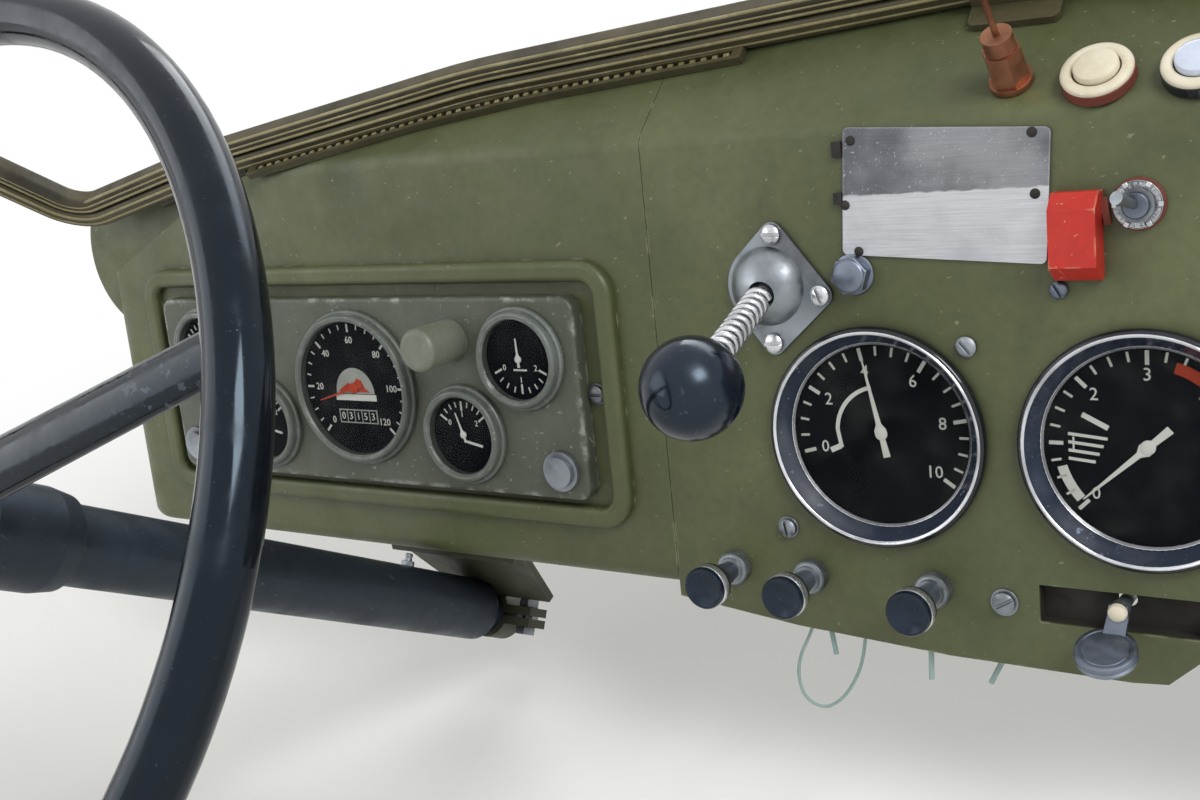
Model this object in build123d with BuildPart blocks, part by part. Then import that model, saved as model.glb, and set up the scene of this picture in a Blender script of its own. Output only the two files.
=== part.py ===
from build123d import *
from math import cos, radians, sin, sqrt, tan
import os

# Dashboard of a cargo truck's cab, with its steering column and wheel. Millimetres.
# X runs across the cab to the driver's right, Y forward, Z up. The origin is the middle of
# the four bolt holes that hold the dashboard to the cab's front wall.

# Sheet metal
sheet = 1.5
seam_gap = 0.4
seat_gap = 0.3

# Face and shelf
face_lean = 15.0            # the face's top leans forward, degrees
face_setback = 210.0        # face, at instrument height, to the cab's front wall
shelf_rise = 28.0           # the shelf rises forward, degrees
bend_height = 150.0         # up the face, from instrument height to the bend line
bend_radius = 13.0
end_radius = 28.0
dash_half_width = 690.0
shoulder_inset = 160.0      # the rail turns down towards its post this far from the end
rail_bend_inset = 360.0     # and bends forward this far from it
post_overhang = 26.0        # corner post, outside the dashboard's end
foot_overhang = 0.0
centre_half_width = 199.0
side_bottom = -113.0        # bottom edge, down the face
side_bottom_radius = 11.0   # rolled lower edge of the side sections
flange_width = 25.0         # returned flange behind the face
shelf_flange = 32.0         # turned-down flange under the shelf's front edge
shelf_front_margin = 24.0   # shelf past the windscreen rail's middle

# Bottom edge of the centre section, x and distance down the face
centre_bottom_edge = [
    (-centre_half_width, -119.0),
    (-122.0, -128.0),
    (-34.0, -133.5),
    (60.0, -134.5),
    (77.0, -133.0),
    (99.0, -113.0),
    (centre_half_width, -113.0),
]

# Raised frame and the panel inside it, on both sides of the cab
frame_x = 431.0
frame_width = 412.0
frame_height = 164.0
frame_mid = 2.0
frame_bead = 13.0
frame_proud = 7.0
frame_corner = 22.0
panel_width = 363.0
panel_height = 125.0
panel_mid = 1.0
panel_proud = 11.0
panel_corner = 9.0
panel_edge_radius = 2.5
opening_margin = 7.0        # panel's edge to the opening behind it

# Instruments: rim radius, can radius, can depth, rim height
speedometer_rim = 52.0
speedometer_can = 47.0
speedometer_depth = 68.0
small_rim = 32.0
small_can = 27.0
small_depth = 42.0
pressure_rim = 59.5
pressure_can = 54.0
pressure_depth = 46.0
pressure_proud = 6.0
pressure_recess = 13.0      # dial below the rim's front
pressure_cone = 8.5         # depth of the bevel inside the rim
pressure_front = 3.0        # width of the rim's front
pressure_bore = 50.5
rim_proud = 8.0
rim_step = 3.4              # height of the rim's base ring
rim_step_width = 2.6
rim_wall = 7.0
dial_depth = 6.0            # dial below the rim's front
dial_thickness = 1.2
glass_thickness = 2.0
can_clearance = 0.5
stem_clearance = 0.4
speedometer_x = 2.0 - frame_x
speedometer_v = 4.0
small_gauge_offsets = [     # from the speedometer: across, up
    (139.0, 22.0),
    (89.0, -27.5),
    (-89.0, -27.5),
    (-139.0, 22.0),
]
small_gauge_places = [
    (speedometer_x + across_by, speedometer_v + up_by) for across_by, up_by in small_gauge_offsets
]
pressure_x = 68.0
pressure_v = -14.5
hood_across = 85.0          # from the speedometer
hood_place = (speedometer_x + hood_across, 36.5)
hood_radius = 13.5
hood_length = 34.0
hood_round = 4.0
hood_window = (14.0, 7.0, 9.0)     # light slot under it: width, length, height of its middle
hood_socket = 8.6           # lamp socket through the panel: radius, length
hood_socket_length = 20.0
button_radius = 12.5
button_cap = 9.5
button_step = 3.0           # height of the ring, and of the cap on it
button_stem = 7.6
button_stem_length = 18.0
button_margin = 18.5        # button to the panel's end
button_v = -43.0
button_places = [
    (side * (panel_width / 2 - button_margin) - frame_x, button_v) for side in (1, -1)
]

# Ball lever
socket_place = (-125.0, 67.0)
socket_dome = 22.5
socket_dome_height = 15.0
socket_hole = 7.5
socket_screws = [(-120.0, 95.0), (-123.0, 36.0), (-94.0, 62.0)]
ball_place = (-106.0, 39.0)
ball_proud = 122.0
ball_radius = 25.0
lever_radius = 4.0

# Small things on the face
plate_width = 105.0
plate_height = 65.0
plate_place = (-25.5, 112.0)
plate_tilt = -3.8
plate_thickness = 1.2
guard_place = (40.5, 89.5)
guard_width = 22.0
guard_height = 42.0
guard_proud = 15.0
guard_wall = 1.8
toggle_place = (67.5, 103.0)
toggle_nut = 11.0
knob_places = [-159.0, -111.0, -40.0]
knob_v = -96.0
knob_radius = 12.0
knob_head = 12.0            # length of the head, with its collar ring
knob_neck = 7.0
knob_reach = 41.0
knob_rod = 3.5
knob_bush = 9.5
slot_place = (55.0, -98.0)
slot_length = 80.0
slot_height = 20.0
lever_post = (56.0, -94.0)
lever_post_radius = 4.4
lever_post_top = 12.0
grip_place = (52.5, -112.0, 20.0)   # x, height, in front of the face
grip_radius = 15.0
grip_height = 7.0
grip_elevation = 66.0       # its axis above the horizontal

# Shelf
lamp_radius = 17.0
lamp_lens = 10.5
lamp_places = [48.5, 93.0]
lamp_s = 14.5
valve_x = 7.0
valve_s = 18.0
valve_radius = 9.5

# Windscreen rail, right half: x and distance up the shelf from the bend line
rail_width = 15.0
rail_height = 13.0
seal_size = 12.0
rail_middle_s = 84.0
rail_bend = (dash_half_width - rail_bend_inset, 49.0)
rail_shoulder = (dash_half_width - shoulder_inset, 2.0)
rail_foot = (dash_half_width + foot_overhang, 24.0, 114.0)  # x, forward of the face, up
rail_post = (dash_half_width + post_overhang, -30.0, 178.0)     # cut end of the corner post
rail_radii = [400.0, 220.0, 42.0]
shoulder_x = rail_shoulder[0]   # outside it the section's top slopes down with the rail
shoulder_end = 74.0         # its height at the end, up the face
web_depth = 8.0             # corner web under the rail, behind the face
web_round = 60.0
foot_width = 46.0
foot_depth = 20.0
foot_height = 48.0
foot_toe = 60.0             # the pillar foot's front edge, up the shelf
foot_sheet = 4.0

# Steering
column_rake = 41.0          # below the horizontal
wheel_x = -408.0
wheel_back = 338.0          # wheel's centre behind the face's origin
wheel_up = 118.0
rim_radius = 240.0
rim_section = 13.5
spoke_angles = [20.0, 160.0, 270.0]
spoke_dish = 18.0
spoke_root = (30.0, 17.0)   # width and thickness at the hub
spoke_tip = (23.0, 13.0)
hub_radius = 34.0
hub_length = 46.0
hub_top = 6.0               # above the rim's plane
horn_radius = 29.0
horn_height = 9.0
tube_radius = 21.5
tube_wall = 3.0
tube_start = 84.0           # along the column, from the rim's plane
tube_end = 458.0
nose_radius = 14.0          # bearing nose under the tube
nose_end = 500.0
collar_start = 46.0
collar_end = 103.0
collar_radius = 27.5
shaft_radius = 10.0
shaft_end = 524.0
shaft_tip_radius = 9.0      # turned-down end that takes the coupling
shaft_tip_length = 40.0
shaft_clearance = 0.1
bush_length = 16.0
clamp_width = 20.0
clamp_wall = 4.0
clamp_start = 472.0

# Glovebox
bin_depth = 170.0
lid_gap = 5.5               # lid's edge to the raised frame
hinge_radius = 2.5
hinge_pin = 1.2
hinge_up = 9.5              # hinge line in front of the face
knuckle_gap = 0.4
knuckle_edges = [-140.0, -84.0, -28.0, 28.0, 84.0, 140.0]
latch_radius = 12.0

# Mounting brackets
end_inner = dash_half_width - end_radius - 4.0  # the closed ends reach in to here
bolt_inset = 54.0           # bolt holes inside the dashboard's ends
bolt_spacing_x = 2 * (dash_half_width - bolt_inset)
bolt_spacing_z = 120.0
bolt_hole = 5.5
bracket_sheet = 3.0
bracket_height = 160.0
bracket_foot = 44.0
bracket_flange = 17.0
bracket_front_top = 0.0     # top of its front edge, clear of the shelf's folded edge

# Grab handle on the passenger's side
handle_radius = 8.0
handle_span = 220.0
handle_reach = 48.0
handle_v = 112.0
handle_foot = (44.0, 24.0)

# Wire loop under the centre section
wire_radius = 1.0
wire_route = [              # x, height, depth behind the face
    (-118.0, -128.4, 12.0),
    (-122.0, -139.0, 12.0),
    (-129.0, -151.0, 12.5),
    (-132.5, -166.0, 13.5),
    (-129.0, -180.0, 14.0),
    (-116.5, -184.5, 14.0),
    (-104.0, -175.5, 13.0),
    (-94.5, -161.0, 12.0),
    (-88.5, -146.0, 11.0),
    (-86.0, -130.4, 10.0),
]

# Frames of reference
lean = radians(face_lean)
rise = radians(shelf_rise)
rake = radians(column_rake)
FACE = Plane(origin=(0, -face_setback, 0), x_dir=(1, 0, 0), z_dir=(0, -cos(lean), sin(lean)))
SHELF = Plane(
    origin=(0, bend_height * sin(lean) - face_setback, bend_height * cos(lean)),
    x_dir=(1, 0, 0),
    z_dir=(0, -sin(rise), cos(rise)),
)
COLUMN = Plane(
    origin=(wheel_x, -wheel_back - face_setback, wheel_up),
    x_dir=(1, 0, 0),
    z_dir=(0, -cos(rake), sin(rake)),
)


def across(x):
    """Plane across the cab at x: local x forward, local y up, seen from the origin of the face."""
    return Plane(origin=(x, -face_setback, 0), x_dir=(0, 1, 0), z_dir=(1, 0, 0))


def along_face(x):
    """Plane across the cab at x: local x into the face, local y up the face."""
    return Plane(origin=(x, -face_setback, 0), x_dir=(0, cos(lean), -sin(lean)), z_dir=(1, 0, 0))


def on_face(x, v, out=0.0):
    """Point on the face plane, or out millimetres in front of it."""
    return FACE.from_local_coords((x, v, out))


def shelf_point(x, s, up=0.0):
    """Point on the shelf plane, s up its slope from the bend line."""
    return SHELF.from_local_coords((x, s, up))


def save(part, label):
    """Label a finished sub-part and write it."""
    part.part.label = label
    export_step(part.part, f"parts/{label}.step")


# Outlines shared by the three sheet metal sections
far = 420.0


def folded_section(face_inset, shelf_inset):
    """Face line and shelf line of the fold, each moved in, closed far below and far in front."""
    up_face = Vector(sin(lean), cos(lean))
    up_shelf = Vector(cos(rise), sin(rise))
    into_face = Vector(cos(lean), -sin(lean))
    turn = cos(lean) * cos(rise) - sin(lean) * sin(rise)
    slide = (shelf_inset - face_inset * (cos(lean) * sin(rise) + sin(lean) * cos(rise))) / turn
    corner = up_face * (bend_height - slide) + into_face * face_inset
    foot = corner - up_face * far
    front = corner + up_shelf * far
    return [(foot.X, foot.Y), (corner.X, corner.Y), (front.X, front.Y), (front.X, foot.Y)]


def plan_outline(inset):
    """Shelf's front edge seen from above, parallel to the windscreen rail, closed far behind."""
    half = [(0.0, rail_middle_s), rail_bend, rail_shoulder]
    edge = []
    for x, s in half:
        point = shelf_point(x, s + shelf_front_margin)
        edge.append((x, point.Y - inset))
    last_x, last_y = edge[-1]
    slope = (edge[-2][1] - last_y) / (last_x - edge[-2][0])
    reach = dash_half_width + far
    edge.append((reach, last_y - slope * (reach - last_x)))
    right = edge + [(reach, -face_setback - far)]
    left = [(-x, y) for x, y in reversed(right)]
    return left + right[1:]


def folded_volume(front_outline, inset, bottom_radius):
    """Solid between the face, the shelf and their edges, each moved in by inset."""
    low = min(x for x, v in front_outline)
    high = max(x for x, v in front_outline)
    with BuildPart() as volume:
        with BuildSketch(across(low - 1)) as section:
            Polygon(*folded_section(inset, inset), align=None)
            fillet(section.vertices().sort_by(Axis.Y)[-2:].sort_by(Axis.X)[0], bend_radius - inset)
        extrude(amount=high - low + 2)
        with BuildSketch(FACE):
            Polygon(*front_outline, align=None)
            if inset > 0:
                offset(amount=-inset, kind=Kind.INTERSECTION, mode=Mode.REPLACE)
        extrude(amount=far, both=True, mode=Mode.INTERSECT)
        with BuildSketch(Plane.XY):
            Polygon(*plan_outline(inset), align=None)
        extrude(amount=far, both=True, mode=Mode.INTERSECT)
        edges = volume.faces().sort_by(Axis.Y)[0].edges()
        end_edges = edges.filter_by_position(Axis.X, -dash_half_width - 1, -dash_half_width + inset + 1)
        if end_edges:
            fillet(end_edges, radius=end_radius - inset)
        if bottom_radius:
            face = volume.faces().filter_by(GeomType.PLANE).sort_by(Axis.Y)[0]
            fillet(face.edges().sort_by(Axis.Z)[0], radius=bottom_radius - inset)
    return volume.part


def folded_sheet(front_outline, open_low, open_high, bottom_radius=0.0):
    """The same volume as bent sheet: walls one sheet thick, open between x limits behind."""
    outer = folded_volume(front_outline, 0.0, bottom_radius)
    inner = folded_volume(front_outline, sheet, bottom_radius)
    with BuildPart() as body:
        add(outer)
        add(inner, mode=Mode.SUBTRACT)
        with BuildSketch(across(open_low)):
            Polygon(*folded_section(flange_width, shelf_flange), align=None)
        extrude(amount=open_high - open_low, mode=Mode.SUBTRACT)
    return body.part


def frame_ring(inset, height):
    """Raised frame round a side panel, rounded on its crest; inset for the hollow behind it."""
    with BuildPart() as ring:
        with BuildSketch(FACE.offset(-sheet - (1 if inset else 0))):
            with Locations((-frame_x, frame_mid)):
                RectangleRounded(
                    frame_width - 2 * inset, frame_height - 2 * inset, frame_corner - inset
                )
                RectangleRounded(
                    frame_width - 2 * frame_bead + 2 * inset,
                    frame_height - 2 * frame_bead + 2 * inset,
                    frame_corner - frame_bead + inset,
                    mode=Mode.SUBTRACT,
                )
        extrude(amount=height + sheet + (1 if inset else 0))
        crest = ring.faces().sort_by(Axis((0, 0, 0), FACE.z_dir))[-1]
        fillet(crest.edges(), radius=frame_bead / 2 - inset - 2.4)
    return ring.part


# Corner web: it closes the gap between the section's shoulder and the rail's corner
web_high = (-dash_half_width - 12, shoulder_end + 46)
web_low = (-dash_half_width + 16, shoulder_end - 30)

side_outline = [
    (-dash_half_width, side_bottom),
    (-centre_half_width - seam_gap, side_bottom),
    (-centre_half_width - seam_gap, far),
    (-shoulder_x, far),
    (-shoulder_x, bend_height),
    (-dash_half_width, shoulder_end),
]
side_sheet = folded_sheet(side_outline, -end_inner, -centre_half_width + 5, side_bottom_radius)
ridge = frame_ring(0.0, frame_proud)
groove = frame_ring(sheet, frame_proud - sheet)

with BuildPart() as dash_left:
    add(side_sheet)
    add(ridge)
    add(groove, mode=Mode.SUBTRACT)
    with BuildSketch(FACE):
        with Locations((-frame_x, panel_mid)):
            RectangleRounded(
                panel_width - 2 * opening_margin, panel_height - 2 * opening_margin, panel_corner
            )
        with Locations(*small_gauge_places):
            Circle(small_can + can_clearance)
    extrude(amount=3 * sheet, both=True, mode=Mode.SUBTRACT)
    with BuildSketch(FACE.offset(-web_depth)):
        with BuildLine():
            Polyline(
                web_low,
                (-shoulder_x, shoulder_end + 40),
                (-shoulder_x, bend_height - 4),
                web_high,
            )
            RadiusArc(web_high, web_low, -web_round)
        make_face()
    extrude(amount=-sheet)
save(dash_left, "dash_left")

with BuildPart() as dash_right:
    add(mirror(dash_left.part, about=Plane.YZ))
save(dash_right, "dash_right")

centre_outline = centre_bottom_edge + [(centre_half_width, far), (-centre_half_width, far)]
centre_sheet = folded_sheet(centre_outline, -centre_half_width - 5, centre_half_width + 5)

with BuildPart() as dash_centre:
    add(centre_sheet)
    with BuildSketch(FACE):
        with Locations((-pressure_x, pressure_v), (pressure_x, pressure_v)):
            Circle(pressure_can + can_clearance)
        with Locations(socket_place):
            Circle(socket_dome - 6)
        with Locations(toggle_place):
            Circle(5.8)
        with Locations(*[(x, knob_v) for x in knob_places]):
            Circle(5.5)
        with Locations(slot_place):
            Rectangle(slot_length, slot_height)
    extrude(amount=3 * sheet, both=True, mode=Mode.SUBTRACT)
save(dash_centre, "dash_centre")


# Instruments
def turned_case(x, v, seat, profile):
    """Gauge case turned about its own axis from radius and height pairs."""
    axis_plane = Plane(origin=on_face(x, v, seat), x_dir=(1, 0, 0), z_dir=(0, -sin(lean), -cos(lean)))
    with BuildPart() as case:
        with BuildSketch(axis_plane):
            Polygon(*profile, align=None)
        revolve(axis=Axis(on_face(x, v, 0), FACE.z_dir), revolution_arc=360)
    return case.part


def panel_case_profile(rim, can, depth):
    """Can, and a rim in two steps round the dial."""
    bore = rim - rim_wall
    step = rim - rim_step_width
    return [
        (0, -depth),
        (can, -depth),
        (can, seat_gap),
        (rim, seat_gap),
        (rim, rim_step - 1),
        (rim - 1, rim_step),
        (step, rim_step),
        (step, rim_proud - 1.6),
        (step - 1.6, rim_proud),
        (bore + 1, rim_proud),
        (bore, rim_proud - 1.5),
        (bore, rim_proud - dial_depth - dial_thickness),
        (0, rim_proud - dial_depth - dial_thickness),
    ]


def pressure_case_profile():
    """Can, and a flat rim with a deep bevel down to the glass."""
    floor = pressure_proud - pressure_recess - dial_thickness
    return [
        (0, -pressure_depth),
        (pressure_can, -pressure_depth),
        (pressure_can, seat_gap),
        (pressure_rim, seat_gap),
        (pressure_rim, pressure_proud - 1.5),
        (pressure_rim - 1.5, pressure_proud),
        (pressure_rim - pressure_front, pressure_proud),
        (pressure_bore, pressure_proud - pressure_cone),
        (pressure_bore, floor),
        (0, floor),
    ]


def face_disc(x, v, radius, low, high):
    """Round disc parallel to the face, between two heights in front of it."""
    with BuildPart() as disc:
        with BuildSketch(FACE.offset(low)):
            with Locations((x, v)):
                Circle(radius)
        extrude(amount=high - low)
    return disc.part


with BuildPart() as speedometer_case:
    profile = panel_case_profile(speedometer_rim, speedometer_can, speedometer_depth)
    add(turned_case(speedometer_x, speedometer_v, panel_proud, profile))
save(speedometer_case, "speedometer_case")

with BuildPart() as small_gauge_cases:
    for x, v in small_gauge_places:
        add(turned_case(x, v, panel_proud, panel_case_profile(small_rim, small_can, small_depth)))
save(small_gauge_cases, "small_gauge_cases")

with BuildPart() as pressure_gauge_cases:
    for x in (-pressure_x, pressure_x):
        add(turned_case(x, pressure_v, 0, pressure_case_profile()))
save(pressure_gauge_cases, "pressure_gauge_cases")

dial_clearance = 0.3
glass_lift = 4.5            # glass's top above the dial
small_level = panel_proud + rim_proud - dial_depth
pressure_level = pressure_proud - pressure_recess

# Gauge faces: x, height, bore, height of the dial
speedometer_faces = [(speedometer_x, speedometer_v, speedometer_rim - rim_wall, small_level)]
small_faces = [(x, v, small_rim - rim_wall, small_level) for x, v in small_gauge_places]
pressure_faces = [(x, pressure_v, pressure_bore, pressure_level) for x in (-pressure_x, pressure_x)]


def dials(places):
    """Dial discs, each on the floor of its case."""
    with BuildPart() as discs:
        for x, v, bore, level in places:
            add(face_disc(x, v, bore - dial_clearance, level - dial_thickness, level))
    return discs.part


def glasses(places):
    """Cover glasses, each just inside its rim."""
    with BuildPart() as discs:
        for x, v, bore, level in places:
            top = level + glass_lift
            add(face_disc(x, v, bore - dial_clearance, top - glass_thickness, top))
    return discs.part


for kind, places in (
    ("speedometer", speedometer_faces),
    ("small_gauge", small_faces),
    ("pressure_gauge", pressure_faces),
):
    with BuildPart() as dial:
        add(dials(places))
    save(dial, f"{kind}_dials" if len(places) > 1 else f"{kind}_dial")
    with BuildPart() as glass:
        add(glasses(places))
    save(glass, f"{kind}_glasses" if len(places) > 1 else f"{kind}_glass")

# Needles: share of the dial's radius, width at the hub, angle from the dial's right
needle_table = [
    (speedometer_faces[0], 0.72, 2.6, 215.0),
    (small_faces[0], 0.5, 1.8, 92.0),
    (small_faces[1], 0.66, 1.8, 122.0),
    (small_faces[2], 0.66, 1.8, 125.0),
    (small_faces[3], 0.66, 1.8, 120.0),
    (pressure_faces[0], 0.74, 3.0, 103.0),
    (pressure_faces[1], 0.78, 3.0, 222.0),
]
needle_lift = 1.0
needle_thickness = 0.6
needle_hub = 0.07           # share of the dial's radius
needle_tail = 0.18
needle_tip = 0.5            # width at the point

with BuildPart() as gauge_needles:
    for (x, v, dial_radius, level), reach, width, angle in needle_table:
        with BuildSketch(FACE.offset(level)):
            with Locations((x, v)):
                Circle(dial_radius * needle_hub)
        extrude(amount=needle_lift + needle_thickness)
        with BuildSketch(FACE.offset(level + needle_lift)):
            with Locations(Location((x, v), angle)):
                Polygon(
                    (-dial_radius * needle_tail, -width / 2),
                    (-dial_radius * needle_tail, width / 2),
                    (dial_radius * reach, needle_tip / 2),
                    (dial_radius * reach, -needle_tip / 2),
                    align=None,
                )
        extrude(amount=needle_thickness)
save(gauge_needles, "gauge_needles")

# Instrument panel
with BuildPart() as cluster_panel:
    with BuildSketch(FACE.offset(seat_gap)):
        with Locations((-frame_x, panel_mid)):
            RectangleRounded(panel_width, panel_height, panel_corner)
    extrude(amount=panel_proud - seat_gap)
    fillet(cluster_panel.faces().sort_by(Axis((0, 0, 0), FACE.z_dir))[-1].edges(), panel_edge_radius)
    with BuildSketch(FACE):
        with Locations((-frame_x, panel_mid)):
            RectangleRounded(panel_width - 2 * sheet, panel_height - 2 * sheet, panel_corner - sheet)
    extrude(amount=panel_proud - sheet, mode=Mode.SUBTRACT)
    with BuildSketch(FACE):
        with Locations((speedometer_x, speedometer_v)):
            Circle(speedometer_can + can_clearance)
        with Locations(*small_gauge_places):
            Circle(small_can + can_clearance)
        with Locations(hood_place):
            Circle(hood_socket + stem_clearance)
        with Locations(*button_places):
            Circle(button_stem + stem_clearance)
    extrude(amount=2 * panel_proud, mode=Mode.SUBTRACT)
save(cluster_panel, "cluster_panel")

# Lamp hood and push buttons on the panel
with BuildPart() as lamp_hood:
    add(face_disc(*hood_place, hood_radius, panel_proud, panel_proud + hood_length))
    fillet(lamp_hood.edges().sort_by(Axis((0, 0, 0), FACE.z_dir))[-1], hood_round)
    window_width, window_length, window_up = hood_window
    with BuildSketch(along_face(hood_place[0] - window_width / 2)):
        with Locations((-panel_proud - window_up, hood_place[1] - hood_radius)):
            Rectangle(window_length, hood_round)
    extrude(amount=window_width, mode=Mode.SUBTRACT)
    add(face_disc(*hood_place, hood_socket, panel_proud - hood_socket_length, panel_proud))
save(lamp_hood, "lamp_hood")

with BuildPart() as cluster_buttons:
    for x, v in button_places:
        add(face_disc(x, v, button_radius, panel_proud, panel_proud + button_step))
        add(face_disc(x, v, button_cap, panel_proud + button_step, panel_proud + 2 * button_step))
        add(face_disc(x, v, button_stem, panel_proud - button_stem_length, panel_proud))
save(cluster_buttons, "cluster_buttons")

# Ball lever and its socket
pivot_radius = 12.0
dome_wall = 2.0
dome_sphere = (socket_dome**2 + socket_dome_height**2) / (2 * socket_dome_height)
dome_inside = dome_sphere - dome_wall
pivot_seat = sqrt(dome_inside**2 - socket_hole**2) - sqrt(pivot_radius**2 - socket_hole**2)
pivot_gap = 0.9             # pivot ball to the dome's inside, round the hole
pivot_height = socket_dome_height - dome_sphere + pivot_seat - pivot_gap
lever_root = on_face(*socket_place, pivot_height)
ball_centre = on_face(*ball_place, ball_proud)
lever_dir = (ball_centre - lever_root).normalized()
lever_plane = Plane(origin=lever_root, z_dir=lever_dir)
dome_plane = Plane(
    origin=on_face(*socket_place, seat_gap), x_dir=(1, 0, 0), z_dir=(0, -sin(lean), -cos(lean))
)
spring_turns = 9
spring_pitch = 5.5
spring_radius = 6.6
spring_start = 24.0

with BuildPart() as lever_socket:
    with BuildSketch(FACE.offset(seat_gap)) as flange_sketch:
        with Locations(socket_place):
            Circle(socket_dome + 1)
        with Locations(*socket_screws):
            Circle(6.5)
        make_hull(flange_sketch.edges())
    extrude(amount=dome_wall)
    with BuildSketch(dome_plane):
        with BuildLine():
            Line((0, 0), (socket_dome, 0))
            RadiusArc((socket_dome, 0), (0, socket_dome_height), -dome_sphere)
            Line((0, socket_dome_height), (0, 0))
        make_face()
    revolve(axis=Axis(on_face(*socket_place, 0), FACE.z_dir), revolution_arc=360)
    with Locations(Plane(origin=on_face(*socket_place, socket_dome_height - dome_sphere))):
        Sphere(dome_inside, mode=Mode.SUBTRACT)
    with BuildSketch(FACE):
        with Locations(socket_place):
            Circle(pivot_radius + seat_gap)
    extrude(amount=dome_wall + seat_gap, mode=Mode.SUBTRACT)
    with BuildSketch(lever_plane):
        Circle(socket_hole)
    extrude(amount=60, mode=Mode.SUBTRACT)
save(lever_socket, "lever_socket")

ball_distance = (ball_centre - lever_root).length

with BuildPart() as ball_lever:
    with Locations(lever_plane):
        Sphere(pivot_radius)
    with BuildSketch(lever_plane):
        Circle(lever_radius)
    extrude(amount=ball_distance)
    for turn in range(spring_turns):
        with BuildSketch(lever_plane.offset(spring_start + turn * spring_pitch)):
            Circle(spring_radius)
        extrude(amount=spring_pitch * 0.55)
    with Locations(Plane(origin=ball_centre)):
        Sphere(ball_radius)
save(ball_lever, "ball_lever")

# Plate, switch guard, toggle switch
with BuildPart() as data_plate:
    with BuildSketch(FACE.offset(seat_gap)):
        with Locations(Location(plate_place, plate_tilt)):
            RectangleRounded(plate_width, plate_height, 3)
    extrude(amount=plate_thickness)
save(data_plate, "data_plate")

guard_x, guard_v = guard_place
guard_top = guard_v + guard_height / 2
guard_bottom = guard_v - guard_height / 2


def guard_solid(wall, back):
    """Cap with a sloped top and a curved lower end, its walls moved in by wall."""
    with BuildPart() as cap:
        with BuildSketch(along_face(guard_x - guard_width / 2 + wall)) as side:
            Polygon(
                (back, guard_top - wall),
                (-guard_proud / 2, guard_top - wall),
                (-guard_proud + wall, guard_top - guard_proud / 2 - wall / 2),
                (-guard_proud + wall, guard_bottom + guard_proud / 2),
                (-guard_proud / 3, guard_bottom + wall),
                (back, guard_bottom + wall),
                align=None,
            )
            fillet(side.vertices().sort_by(Axis.Y)[:2], 3)
        extrude(amount=guard_width - 2 * wall)
    return cap.part


with BuildPart() as switch_guard:
    add(guard_solid(0.0, -seat_gap))
    add(guard_solid(guard_wall, 1.0), mode=Mode.SUBTRACT)
save(switch_guard, "switch_guard")

with BuildPart() as toggle_switch:
    add(face_disc(*toggle_place, 5.5, -10, 8))
    add(face_disc(*toggle_place, toggle_nut, seat_gap, 3))
    add(face_disc(*toggle_place, toggle_nut - 3, 3, 6))
    with BuildSketch(FACE.offset(-10)):
        with Locations(toggle_place):
            Rectangle(24, 14)
    extrude(amount=-20)
    bat = Plane(origin=on_face(*toggle_place, 6), z_dir=FACE.z_dir + Vector(-0.35, 0, 0.4))
    with BuildSketch(bat):
        Circle(2)
    with BuildSketch(bat.offset(17)):
        Circle(3.2)
    loft()
save(toggle_switch, "toggle_switch")

# Pull knobs: bush, rod, neck, and a head with a collar ring behind its face
knob_back = knob_reach - knob_head
with BuildPart() as pull_knobs:
    for x in knob_places:
        add(face_disc(x, knob_v, knob_bush, seat_gap, 7))
        add(face_disc(x, knob_v, knob_bush - 2.5, 7, 9))
        add(face_disc(x, knob_v, 5.2, -14, seat_gap))
        add(face_disc(x, knob_v, knob_rod, 9, knob_back - 4))
        add(face_disc(x, knob_v, knob_neck, knob_back - 4, knob_back))
        add(face_disc(x, knob_v, knob_radius, knob_back, knob_back + knob_head / 2))
        add(face_disc(x, knob_v, knob_radius - 0.8, knob_back + knob_head / 2, knob_back + knob_head / 2 + 1))
        add(face_disc(x, knob_v, knob_radius, knob_back + knob_head / 2 + 1, knob_reach))
save(pull_knobs, "pull_knobs")

# Heater lever in its slot, on a slide behind the face
slide_depth = 8.0
slide_rim = 5.0
with BuildPart() as heater_slide:
    with BuildSketch(FACE.offset(-sheet - seat_gap)):
        with Locations(slot_place):
            RectangleRounded(slot_length + slide_rim, slot_height + slide_rim, 3)
            Rectangle(slot_length, slot_height, mode=Mode.SUBTRACT)
    extrude(amount=-slide_depth)
    with BuildSketch(FACE.offset(-sheet - seat_gap - slide_depth)):
        with Locations(slot_place):
            RectangleRounded(slot_length + slide_rim, slot_height + slide_rim, 3)
        with Locations(lever_post):
            Circle(lever_post_radius + seat_gap, mode=Mode.SUBTRACT)
    extrude(amount=-2)
save(heater_slide, "heater_slide")

grip_tilt = radians(grip_elevation)
grip_centre = on_face(*grip_place)
grip_plane = Plane(origin=grip_centre, x_dir=(1, 0, 0), z_dir=(0, -cos(grip_tilt), sin(grip_tilt)))
arm_start = on_face(*lever_post, lever_post_top - 4)

with BuildPart() as heater_lever:
    add(face_disc(*lever_post, lever_post_radius, -24, lever_post_top))
    with BuildSketch(Plane(origin=arm_start, x_dir=(1, 0, 0), z_dir=grip_centre - arm_start)):
        RectangleRounded(8, 3, 1)
    extrude(amount=(grip_centre - arm_start).length)
    with BuildSketch(grip_plane.offset(-grip_height / 2)):
        Circle(grip_radius)
    extrude(amount=grip_height / 2 - 0.6)
    with BuildSketch(grip_plane.offset(-0.6)):
        Circle(grip_radius - 1)
    extrude(amount=1.2)
    with BuildSketch(grip_plane.offset(0.6)):
        Circle(grip_radius)
    extrude(amount=grip_height / 2 - 0.6)
save(heater_lever, "heater_lever")

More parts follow.
